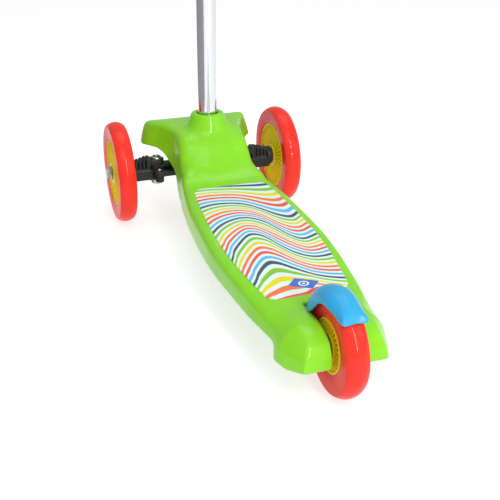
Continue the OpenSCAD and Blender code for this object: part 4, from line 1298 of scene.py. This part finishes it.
def knuckle(side, sign):
    look = knuckleLook
    g = Grid(*look["grid"])
    x, y, z = g.x, g.y, g.z
    mid = look["ahead"]
    arm = boxDistance(x, y, z, (62, mid - 8.5, 47.8), (87, mid + 8.5, 60), 1.2)
    tower = outlineDistance(g.flatX[:, None], g.flatZ[None, :], look["tower"])[:, None, :]
    tower = overlap(tower, np.abs(y - mid) - 8, 1.2)
    # Slanting slots between the ribs on top
    turn = math.radians(look["slatTurn"])
    across = (x - 76) * math.sin(turn) + (y - mid) * math.cos(turn)
    gap = look["slatGap"]
    slot = np.abs((across + gap * 20) % gap - gap / 2) - (gap / 2 - look["slatHalf"])
    slot = np.maximum(np.maximum(slot, 62.5 - z), np.maximum(68.4 - x, x - 84.5))
    tower = carved(tower, slot, 0.6)
    body = merged(arm, tower, 1.5)
    inside, outside = look["flange"]
    flange = rodDistance(x, y, z, (inside, mid, 60), (outside, mid, 60), look["flangeRadius"], 0.6)
    body = merged(body, flange, 1.5)
    king = look["king"]
    for low, high in (look["lowEar"], look["highEar"]):
        ear = rodDistance(x, y, z, (king, mid, low), (king, mid, high), look["earRadius"], 0.8)
        bridge = boxDistance(x, y, z, (king, mid - 8, low), (67, mid + 8, high), 0.8)
        body = merged(body, merged(ear, bridge, 1.5), 1.2)
    low, high = look["lowEar"]
    back = mid - look["arm"]
    lever = rodDistance(x, y, z, (king, back, low), (king, back, high), 5, 0.8)
    web = boxDistance(x, y, z, (king - 4.4, back, low), (king + 4.4, mid, high), 0.8)
    body = merged(body, merged(lever, web, 2), 1.5)
    body = carved(body, rodDistance(x, y, z, (king, mid, 40), (king, mid, 90), look["pinHole"]), 0.3)
    body = carved(body, rodDistance(x, y, z, (king, back, 40), (king, back, 60), look["tieHole"]), 0.3)
    body = np.maximum(body, -rodDistance(x, y, z, (67.4, mid, 60), (95, mid, 60), look["pinHole"]))
    obj = skinned(side + "Knuckle", g, body, (0, rearAxle.y, 0))
    onSide(obj, sign)
    return finishPiece(obj, side + "_hub", "black_nylon", blackNylon, side + "_knuckle")


knuckle("left", -1)
knuckle("right", 1)

beamLook = {
    "king": 56.0,
    "ahead": 420.0,
    "low": 54.2,
    "high": 65.8,
    "pivot": 80.0,
    "pivotRadius": 10.8,
    "rubber": 31.0,
    "cupRadius": 9.4,
    "endRadius": 8.4,
    "pinHole": 4.05,
    "pockets": (3, 15.5, 28, 40),
    "grid": ((0, 407.5, 52), (66.5, 432.5, 93), 0.55),
}


def axleBeam():
    look = beamLook
    g = Grid(*look["grid"])
    x, y, z = g.x, g.y, g.z
    mid, low, high, pivot = look["ahead"], look["low"], look["high"], look["pivot"]
    king, rubber, hole = look["king"], look["rubber"], look["pinHole"]
    eye = rodDistance(x, y, z, (0, mid - 11, pivot), (0, mid + 11, pivot), look["pivotRadius"], 0.7)
    outline = [(-5, low), (57, low), (57, high), (21, high), (10.6, pivot), (-5, pivot)]
    plate = outlineDistance(g.flatX[:, None], g.flatZ[None, :], outline)[:, None, :]
    plate = overlap(plate, np.abs(y - mid) - 8, 1.4)
    # Ribbed pockets in both long faces
    for start in look["pockets"]:
        pocket = boxDistance(x, np.abs(y - mid), z, (start, 2.4, low + 2.4), (start + 9.6, 12, high - 2.2), 1)
        plate = carved(plate, pocket, 0.6)
    body = merged(eye, plate, 1.5)
    cup = rodDistance(x, y, z, (rubber, mid, low + 4), (rubber, mid, high), look["cupRadius"], 0.6)
    body = merged(body, cup, 1)
    end = rodDistance(x, y, z, (king, mid, low), (king, mid, high), look["endRadius"], 0.6)
    body = merged(body, end, 1)
    body = carved(body, rodDistance(x, y, z, (0, mid - 30, pivot), (0, mid + 30, pivot), hole), 0.3)
    body = carved(body, rodDistance(x, y, z, (king, mid, 40), (king, mid, 90), hole), 0.3)
    values = np.concatenate([body[:0:-1], body])
    g.low[0] = -(body.shape[0] - 1) * g.step
    obj = skinned("axleBeam", g, values, (0, rearAxle.y, 0))
    return finishPiece(obj, "axle", "black_nylon", blackNylon, "axle_beam")


tieRodLook = {
    "grid": ((0, 396.5, 53.5), (64, 411.5, 62.5), 0.5),
    "end": 56,
    "wide": 4,
    "thick": 3.4,
    "eye": 5.9,
    "slots": ((56, 2.6, 3.7), (0, 4.1, 4.6)),
}


def tieRod():
    look = tieRodLook
    g = Grid(*look["grid"])
    x, y, z = g.x, g.y, g.z
    low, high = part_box("tie_rod")
    mid = ((low[1] + high[1]) / 2 - rearAxle.y) / mm
    level = (low[2] + high[2]) / 2 / mm
    low, high = level - look["thick"], level + look["thick"]
    bar = boxDistance(x, y, z, (-5, mid - look["wide"], low), (look["end"], mid + look["wide"], high), 1)
    groove = boxDistance(x, y, np.abs(z - level), (9, mid - 2.4, 1.4), (48, mid + 2.4, 8), 0.8)
    bar = carved(bar, groove, 0.6)
    for place, wide, deep in look["slots"]:
        bar = merged(bar, rodDistance(x, y, z, (place, mid, low), (place, mid, high), look["eye"], 0.7), 1.5)
        slot = boxDistance(x, y, z, (place - wide, mid - deep, 40), (place + wide, mid + deep, 80), 1.2)
        bar = carved(bar, slot, 0.3)
    values = np.concatenate([bar[:0:-1], bar])
    g.low[0] = -(bar.shape[0] - 1) * g.step
    obj = skinned("tieRod", g, values, (0, rearAxle.y, 0))
    return finishPiece(obj, "tie", "black_nylon", blackNylon, "tie_rod")


leanLook = {
    "ball": 4,
    "neck": 3,
    "neckLong": 10,
    "rubber": 8,
    "groove": 6.9,
    "rings": 4,
}


def leanParts():
    look = leanLook
    flats, thick = fastenerLook["flats"], fastenerLook["shank"]
    back, front = (v[1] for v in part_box("lean_bolt"))
    place = boxCentre("lean_bolt")
    place.y = 0
    a, b = back / mm, front / mm
    seat = b - fastenerLook["leanHead"]
    shank = [(0, a + 10), (thick, a + 10), (thick, seat), (0, seat)]
    bolt = [headOutline(flats, fastenerLook["leanHead"], seat), shank, threadOutline(thick, a, a + 10)]
    metalPiece("leanBolt", bolt, place, (0, 1, 0), "deck", "lean_bolt")
    a, b = (v[1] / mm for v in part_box("lean_nut"))
    nut = nutOutline(flats, thick, b - a)
    metalPiece("leanNut", [nut], place + Vector((0, a * mm, 0)), (0, 1, 0), "deck", "lean_nut")
    pin = boxCentre("steer_pin")
    low, high = (v[2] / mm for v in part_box("steer_pin"))
    reach = look["ball"]
    ball = [(reach * math.sin(t), low + reach - reach * math.cos(t)) for t in np.linspace(0, 2.3, 18)]
    ball += [(look["neck"], high - look["neckLong"]), (look["neck"], high), (0, high)]
    metalPiece("steerPin", [ball], Vector((pin.x, pin.y, 0)), (0, 0, 1), "deck", "steer_pin", segments=64)
    for side in ("left", "right"):
        low, high = (v[2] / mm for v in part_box(side + "_rubber"))
        wide = look["rubber"]
        ribs = [(0, low), (wide - 0.6, low), (wide, low + 0.6)]
        for k in range(look["rings"]):
            a = low + 0.6 + k * (high - low - 1.2) / look["rings"]
            ribs += [(wide, a + 1.4), (look["groove"], a + 2.6), (wide, a + 3.8)]
        ribs += [(wide, high - 0.6), (wide - 0.6, high), (0, high)]
        spot = boxCentre(side + "_rubber")
        obj = turned(side + "Rubber", ribs, Vector((spot.x, spot.y, 0)), (0, 0, 1), 72, 50, 0.5)
        finishPiece(obj, "axle", "dark_rubber", darkRubber, side + "_rubber")


axleBeam()
tieRod()
leanParts()
print("front axle ready")


columnLook = {
    "bore": 9.6,
    "outside": 11,
    "bushBore": 11.05,
    "bushOutside": 12.5,
    "bushLong": 41,
    "stem": [(0, -5.1), (4.9, -5.1), (5.1, -4.7), (5.1, -3.8), (3.5, -3.7), (3.5, 4.2), (3.2, 4.8),
             (2.2, 5.15), (0, 5.25)],
    "upperBore": 8.1,
    "upperOutside": 9.5,
}


def columnTube():
    look = columnLook
    foot, top = columnPoint(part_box("column_tube")[0][2]), columnPoint(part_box("column_tube")[1][2])
    length = (top - foot).length / mm - 0.6
    bore, outside = look["bore"], look["outside"]
    wall = [(bore, 0.6), (bore + 0.3, 0.2), (outside - 0.3, 0.2), (outside, 0.6), (outside, length - 0.5),
            (outside - 0.3, length), (bore + 0.3, length), (bore, length - 0.5), (bore, 0.6)]
    obj = turned("columnTube", wall, foot, columnAxis, 128, 30)
    finishPiece(obj, "deck", "chrome_tube", chrome, "column_tube")
    foot = columnPoint(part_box("column_bush")[0][2])
    bore, outside, length = look["bushBore"], look["bushOutside"], look["bushLong"]
    bush = [(bore, 0.4), (bore + 0.25, 0), (outside - 0.2, 0), (outside, 0.4), (outside, length - 0.5),
            (outside - 0.3, length), (bore + 0.35, length), (bore, length - 0.4), (bore, 0.4)]
    obj = turned("columnBush", bush, foot, columnAxis, 96, 30)
    finishPiece(obj, "deck", "black_nylon", blackNylon, "column_bush")
    press = Vector(jointOf["button_press"]["axis"]).normalized()
    centre = boxCentre("lock_button")
    metalPiece("lockButton", [look["stem"]], centre, -press, "button", "lock_button", segments=64)


def upperTube():
    low, high = (v[2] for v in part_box("upper_tube"))
    foot = columnPoint(low)
    length = (columnPoint(high) - foot).length / mm - 1
    bore, outside = columnLook["upperBore"], columnLook["upperOutside"]
    wall = [(bore, 0.5), (bore + 0.3, 0), (outside - 0.3, 0), (outside, 0.5), (outside, length),
            (bore, length), (bore, 0.5)]
    obj = turned("upperTube", wall, foot, columnAxis, 128, 30)
    return finishPiece(obj, "bar", "chrome_tube", chrome, "upper_tube")


barLook = {
    "bore": 9.5,
    "outside": 11,
    "weldSteps": 96,
    "weldAround": 12,
    "bead": 1.25,
    "ripple": 0.08,
    "ripples": 40,
}


def handlebar():
    look = barLook
    half = (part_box("handlebar")[1][0]) / mm
    bore, outside = look["bore"], look["outside"]
    wall = [(bore, -half + 0.4), (bore + 0.3, -half), (outside - 0.3, -half), (outside, -half + 0.4),
            (outside, half - 0.4), (outside - 0.3, half), (bore + 0.3, half), (bore, half - 0.4),
            (bore, -half + 0.4)]
    bar = turned("bar", wall, barMiddle, (1, 0, 0), 128, 30)
    # Weld bead where the upper tube meets the bar: a ripple that follows the saddle
    bm = bmesh.new()
    steps, around = look["weldSteps"], look["weldAround"]
    upper = columnLook["upperOutside"]
    side = Vector((1, 0, 0))
    across = columnAxis.cross(side)
    rows = []
    for k in range(steps):
        a = 2 * math.pi * k / steps
        out = side * math.cos(a) + across * math.sin(a)
        drop = math.sqrt(max(0, outside ** 2 - (upper * math.sin(a)) ** 2))
        spot = barMiddle + (out * (upper + 0.1) - columnAxis * drop) * mm
        ripple = look["bead"] * (1 + look["ripple"] * math.sin(a * look["ripples"]))
        row = []
        for j in range(around):
            t = 2 * math.pi * j / around
            row.append(bm.verts.new(spot + (out * math.cos(t) + columnAxis * math.sin(t)) * ripple * mm))
        rows.append(row)
    for k in range(steps):
        for j in range(around):
            a, b = rows[k], rows[(k + 1) % steps]
            bm.faces.new((a[j], a[(j + 1) % around], b[(j + 1) % around], b[j]))
    bmesh.ops.recalc_face_normals(bm, faces=bm.faces)
    mesh = bpy.data.meshes.new("weld")
    bm.to_mesh(mesh)
    bm.free()
    weld = bpy.data.objects.new("weld", mesh)
    bpy.context.scene.collection.objects.link(weld)
    mesh.polygons.foreach_set("use_smooth", [True] * len(mesh.polygons))
    obj = joinedObjects("handlebar", [bar, weld])
    return finishPiece(obj, "bar", "chrome_tube", chrome, "handlebar")


gripLook = {
    "bore": 11.05,
    "flange": 18.4,
    "flangeThick": 4.0,
    "handle": 15.2,
    "waist": 14.2,
    "rings": 16,
    "ringDepth": 0.9,
    "end": 17.2,
}


def grip(side, sign):
    look = gripLook
    a, b = spanX(side + "_grip", sign)
    bore, flange, handle, end = look["bore"], look["flange"], look["handle"], look["end"]
    face = a + look["flangeThick"]
    outline = [(bore, a + 0.5), (bore + 0.5, a), (flange - 1, a), (flange, a + 1), (flange, face - 1),
               (flange - 1, face), (handle + 1.5, face + 1), (handle, face + 3.5)]
    start, stop = a + 10, b - 14
    gap = (stop - start) / look["rings"]
    for k in range(look["rings"]):
        at = start + gap * k
        swell = handle - (handle - look["waist"]) * math.sin(math.pi * (k + 0.5) / look["rings"])
        groove = swell - look["ringDepth"]
        outline += [(swell, at + 0.1 * gap), (swell, at + 0.55 * gap), (groove, at + 0.68 * gap),
                    (groove, at + 0.92 * gap)]
    outline += [(handle, b - 12), (end, b - 9), (end + 0.8, b - 5), (end, b - 1.4), (end - 2.4, b - 0.1),
                (5, b), (4, b - 0.8), (0, b - 0.9)]
    obj = turned(side + "Grip", outline, Vector((0, barMiddle.y, barMiddle.z)), (sign, 0, 0), 128, 50, 0.35)
    return finishPiece(obj, "bar", "soft_blue", gripBlue, side + "_grip")


def columnSpot(place):
    # Point of the column's axis from its place along the rake, in millimetres
    return columnPoint((150 + (place - 150) * columnAxis.z) * mm)


def ontoColumn(obj, place, ahead=0.0):
    # Turns a mesh made upright at the origin onto the raked column
    forward = columnAxis.cross(Vector((1, 0, 0)))
    turn = Matrix(((1, forward.x, columnAxis.x), (0, forward.y, columnAxis.y), (0, forward.z, columnAxis.z)))
    obj.data.transform(Matrix.Translation(columnSpot(place) + forward * ahead * mm) @ turn.to_4x4())
    return obj


clampLook = {
    "level": 330.0,
    "behind": 19.0,
    "outside": 15.0,
    "bore": 11.02,
    "neck": 9.8,
    "low": -15.0,
    "high": 17.0,
    "earHalf": 8.5,
    "slitHalf": 1.0,
    "blade": [(-18, -0.4), (-9.6, -0.4), (-9.8, 2), (-14.2, 8.3), (-16.8, 16.6), (-17.7, 26.6), (-17.2, 37),
              (-18.6, 40), (-20.4, 40.8), (-21.8, 38.4), (-23.4, 26.7), (-23.3, 16.75), (-21.6, 7.9)],
    "grooves": 5,
    "ringGrid": ((-16, -25.5, -16.5), (16, 16.5, 18.5), 0.4),
    "leverGrid": ((-26, -6, -9.5), (-7.5, 43, 9.5), 0.36),
    "cam": -13,
    "boltRadius": 2.5,
    "eye": [(2.02, -2.6), (2.4, -3), (3.9, -3), (4.35, -2.5), (4.4, 0), (4.35, 2.5), (3.9, 3), (2.4, 3),
            (2.02, 2.6), (2.02, -2.6)],
    "pin": [(0, -7.8), (1.5, -8), (2, -7.5), (2, -6.6), (1.75, -6.4), (1.75, -6), (2, -5.8), (2, 5.8),
            (1.75, 6), (1.75, 6.4), (2, 6.6), (2, 7.5), (1.5, 8), (0, 7.8)],
}


def clampRing():
    look = clampLook
    g = Grid(*look["ringGrid"])
    x, y, z = g.x, g.y, g.z
    away = np.sqrt(x ** 2 + y ** 2)
    ring = rodDistance(x, y, z, (0, 0, look["low"]), (0, 0, look["high"]), look["outside"], 1.2)
    band = np.abs(np.abs(z - 1) - 13.2) - 1.1
    ring = carved(ring, np.maximum(np.maximum(band, look["outside"] - 0.7 - away), -y - 6), 0.5)
    ears = boxDistance(x, y, z, (-look["earHalf"], -24, -11), (look["earHalf"], -9, 11), 1.8)
    # Shallow pockets lighten both ears above and below the bolt
    pocket = boxDistance(np.abs(x), y, np.abs(z), (look["earHalf"] - 1.2, -21.6, 5.2), (12, -14.6, 8.8), 0.6)
    ears = carved(ears, pocket, 0.5)
    body = merged(ring, ears, 2.5)
    body = carved(body, np.maximum(away - look["bore"], z - 15), 0.3)
    body = carved(body, away - look["neck"], 0.5)
    body = carved(body, np.maximum(np.abs(x) - look["slitHalf"], y), 0.5)
    body = carved(body, np.sqrt((y + look["behind"]) ** 2 + z ** 2) + 0 * x - 2.55, 0.4)
    obj = skinned("clampRing", g, body, (0, 0, 0))
    ontoColumn(obj, look["level"])
    return finishPiece(obj, "deck", "black_nylon", blackNylon, "clamp_ring")


def clampLever():
    look = clampLook
    g = Grid(*look["leverGrid"])
    x, y, z = g.x, g.y, g.z
    blade = outlineDistance(g.flatX[:, None], g.flatY[None, :], look["blade"])[:, :, None]
    blade = overlap(blade, np.abs(z) - 8, 1.6)
    # Thumb grooves near the tip
    for k in range(look["grooves"]):
        a = 25 + 2.6 * k
        blade = carved(blade, np.sqrt((x + 24.2 - 0.13 * (a - 25)) ** 2 + (y - a) ** 2) + 0 * z - 1.1, 0.4)
    cam = look["cam"]
    barrel = rodDistance(x, y, z, (cam, 0, -8), (cam, 0, 8), 4.2, 0.6)
    body = merged(blade, barrel, 0.8)
    body = carved(body, boxDistance(x, y, z, (-18.2, -7, -3.25), (-8, 5, 3.25), 0.3), 0.3)
    body = np.maximum(body, 2.04 - np.sqrt((x - cam) ** 2 + y ** 2))
    obj = skinned("clampLever", g, body, (0, 0, 0))
    ontoColumn(obj, look["level"], -look["behind"])
    return finishPiece(obj, "lever", "black_nylon", blackNylon, "clamp_lever")


def clampMetal():
    look = clampLook
    forward = columnAxis.cross(Vector((1, 0, 0)))
    spot = columnSpot(look["level"]) - forward * look["behind"] * mm
    # Eye bolt: a shank along the ears with a ring head round the cam pin
    thick = look["boltRadius"]
    shank = turned("clampShank", [(0, -9.4), (thick, -9.4), (thick, 6), (0, 6)], spot, (1, 0, 0), 64, 30)
    thread = turned("clampThread", threadOutline(thick, 6, 13, 0.9), spot, (1, 0, 0), 64, 28)
    eyeSpot = spot + Vector((look["cam"] * mm, 0, 0))
    eye = turned("clampEye", look["eye"], eyeSpot, columnAxis, 72, 30)
    bolt = joinedObjects("clampBolt", [shank, thread, eye])
    finishPiece(bolt, "deck", "zinc_steel", zincSteel, "clamp_bolt")
    nut = nutOutline(8, thick, 4.5)
    seat = spot + Vector((look["earHalf"] * mm, 0, 0))
    metalPiece("clampNut", [nut], seat, (1, 0, 0), "deck", "clamp_nut", segments=72)
    metalPiece("camPin", [look["pin"]], eyeSpot, columnAxis, "deck", "cam_pin", segments=64)


plugLook = {
    "outside": 9.5,
    "groove": 8.9,
    "ribs": 4,
    "ribGap": 3.1,
    "long": 13.2,
}


def barPlugs():
    # Ribbed plugs pushed into both ends of the bar
    look = plugLook
    wide, groove, long = look["outside"], look["groove"], look["long"]
    made = []
    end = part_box("bar_plugs")[1][0] / mm
    for sign in (-1, 1):
        outline = [(0, end - long), (6.4, end - long), (6.8, end - 13.8), (8.2, end - 14),
                   (groove, end - 13.4)]
        for k in range(look["ribs"]):
            a = end - long + look["ribGap"] * k
            outline += [(wide, a + 0.5), (wide, a + 1.5), (groove, a + 2.1), (groove, a + 2.9)]
        outline += [(wide, end - 0.5), (wide - 0.3, end), (5, end), (4.6, end - 0.5), (0, end - 0.6)]
        made.append(turned("plug" + str(sign), outline, barMiddle, (sign, 0, 0), 96, 35))
    return finishPiece(joinedObjects("barPlugs", made), "bar", "black_nylon", blackNylon, "bar_plugs")


springLook = {
    "turns": 5,
    "coil": 3.5,
    "wire": 0.53,
    "strip": [(-2.9, -0.3), (-2.7, -0.38), (2.7, -0.38), (2.9, -0.3), (2.9, 0.3), (2.7, 0.38), (-2.7, 0.38),
              (-2.9, 0.3)],
    "bend": (6.72, 8.2),
    "bendPlace": (119.0, -1.6),
    "bendFrom": 140,
    "bendTo": 400,
    "pinRadius": 2.18,
    "pinGroove": 1.8,
}


def springs():
    look = springLook
    pin = boxCentre("brake_pin")
    half = (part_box("brake_pin")[1][0]) / mm
    wide, groove = look["pinRadius"], look["pinGroove"]
    outline = [(0, -half), (groove, -half), (wide, 0.4 - half), (wide, 1.4 - half), (groove, 1.6 - half),
               (groove, 2.2 - half), (wide, 2.4 - half)]
    outline += [(r, -a) for r, a in outline[::-1]]
    metalPiece("brakePin", [outline], pin, (1, 0, 0), "deck", "brake_pin", segments=64)
    path, sideways = [], []
    steps = look["turns"] * 48
    for i in range(steps + 1):
        a = 2 * math.pi * look["turns"] * i / steps
        spot = Vector((-4 + 8 * i / steps, look["coil"] * math.cos(a), look["coil"] * math.sin(a)))
        path.append(pin + spot * mm)
        sideways.append(Vector((0, math.cos(a), math.sin(a))))
    turns = np.linspace(0, 2 * math.pi, 15)[:-1]
    wire = [(look["wire"] * math.cos(t), look["wire"] * math.sin(t)) for t in turns]
    coil = sharpen(swept("brakeSpring", path, sideways, wire), 50)
    finishPiece(coil, "deck", "zinc_steel", zincSteel, "brake_spring")
    forward = columnAxis.cross(Vector((1, 0, 0)))
    level, back = look["bendPlace"]
    middle = columnSpot(level) + forward * back * mm
    path = []
    wide, tall = look["bend"]
    for t in np.linspace(math.radians(look["bendFrom"]), math.radians(look["bendTo"]), 72):
        path.append(middle + (forward * wide * math.cos(t) + columnAxis * tall * math.sin(t)) * mm)
    strip = sharpen(swept("lockSpring", path, [Vector((1, 0, 0))] * len(path), look["strip"]), 30)
    finishPiece(strip, "deck", "zinc_steel", zincSteel, "lock_spring")


columnTube()
upperTube()
handlebar()
clampRing()
clampLever()
clampMetal()
barPlugs()
springs()
grip("left", -1)
grip("right", 1)
print("column ready")


stageLook = {
    "floorHalf": 6,
    "floorPale": rgb(182, 182, 182),
    "floorDeep": rgb(178, 178, 178),
    "floorRough": 0.8,
    "floorGlow": 0.68,
    "worldStrength": 0.5,
}


def setStage():
    look = stageLook
    far = look["floorHalf"]
    floor = newObject("floor", [(-far, -far, 0), (far, -far, 0), (far, far, 0), (-far, far, 0)],
                      [(0, 1, 2, 3)])
    mat, tree, shader = newMaterial("floorWhite")
    place = put(tree, "ShaderNodeTexCoord").outputs["Object"]
    noise = put(tree, "ShaderNodeTexNoise", {"Vector": place, "Scale": 3.0, "Detail": 2.0}).outputs[0]
    tree.links.new(mixed(tree, noise, look["floorPale"], look["floorDeep"]), shader.inputs["Base Color"])
    shader.inputs["Roughness"].default_value = look["floorRough"]
    shader.inputs["Emission Color"].default_value = (1, 1, 1, 1)
    shader.inputs["Emission Strength"].default_value = look["floorGlow"]
    floor.data.materials.append(mat)
    world = bpy.data.worlds.new("studio")
    bpy.context.scene.world = world
    world.use_nodes = True
    world.node_tree.nodes["Background"].inputs["Color"].default_value = (1, 1, 1, 1)
    world.node_tree.nodes["Background"].inputs["Strength"].default_value = look["worldStrength"]


# Each light: its place, what it points at, its size, its power and its share in highlights
lightLook = {
    "keySoftbox": {"place": (-0.35, -0.8, 1.6), "target": (0, 0, 0.1), "size": (0.9, 0.9), "power": 4.8,
                   "gloss": 1.0},
    "backStrip": {"place": (0.14, -1.48, 0.98), "target": (0, 0.1, 0.12), "size": (0.15, 1.3), "power": 17,
                  "gloss": 1.0},
    "fillSoftbox": {"place": (1.2, -0.9, 0.9), "target": (0, 0, 0.1), "size": (0.9, 0.9), "power": 2.8,
                    "gloss": 0.2},
    "topSoftbox": {"place": (0.1, 0.6, 1.6), "target": (0, 0, 0.1), "size": (1.2, 0.8), "power": 5.4,
                   "gloss": 1.0},
}


def addLight(name):
    look = lightLook[name]
    data = bpy.data.lights.new(name, "AREA")
    data.shape = "RECTANGLE"
    data.size, data.size_y = look["size"]
    data.energy = look["power"]
    data.specular_factor = look["gloss"]
    obj = bpy.data.objects.new(name, data)
    obj.location = look["place"]
    aim = Vector(look["target"]) - Vector(look["place"])
    obj.rotation_euler = aim.to_track_quat("-Z", "Y").to_euler()
    bpy.context.scene.collection.objects.link(obj)


cameraLook = {
    "lens": 60.44,
    "turn": -18.34,
    "down": 25.76,
    "roll": -0.18,
    "side": -0.2528,
    "behind": 0.5352,
    "height": 0.4151,
}


def setCamera():
    look = cameraLook
    data = bpy.data.cameras.new("camera")
    data.lens = look["lens"]
    data.sensor_width = 36
    data.clip_start = 0.01
    obj = bpy.data.objects.new("camera", data)
    bpy.context.scene.collection.objects.link(obj)
    turn = (Matrix.Rotation(math.radians(look["turn"]), 4, "Z")
            @ Matrix.Rotation(math.radians(90 - look["down"]), 4, "X")
            @ Matrix.Rotation(math.radians(look["roll"]), 4, "Z"))
    place = (look["side"], rearAxle.y - look["behind"], look["height"])
    obj.matrix_world = Matrix.Translation(place) @ turn
    bpy.context.scene.camera = obj


cardLook = {
    "corners": [(-0.3, -0.14, 0.004), (-1.3, -1.16, 0.5), (-1.3, 1.6, 0.5), (-0.3, 1.2, 0.004)],
    "deep": rgb(150, 150, 153),
    "pale": rgb(160, 160, 162),
}


def darkCard():
    # Grey card beside the set, out of the camera's view, that darkens the left side and the chrome
    look = cardLook
    card = newObject("card", look["corners"], [(0, 1, 2, 3)], False)
    mat, tree, shader = newMaterial("cardGrey")
    place = put(tree, "ShaderNodeTexCoord").outputs["Object"]
    noise = put(tree, "ShaderNodeTexNoise", {"Vector": place, "Scale": 2.0}).outputs[0]
    tree.links.new(mixed(tree, noise, look["deep"], look["pale"]), shader.inputs["Base Color"])
    card.data.materials.append(mat)
    card.visible_camera = False
    card.visible_shadow = False


setStage()
darkCard()
for lightName in lightLook:
    addLight(lightName)
setCamera()
print("stage ready")
bpy.context.scene.view_settings.view_transform = "Standard"
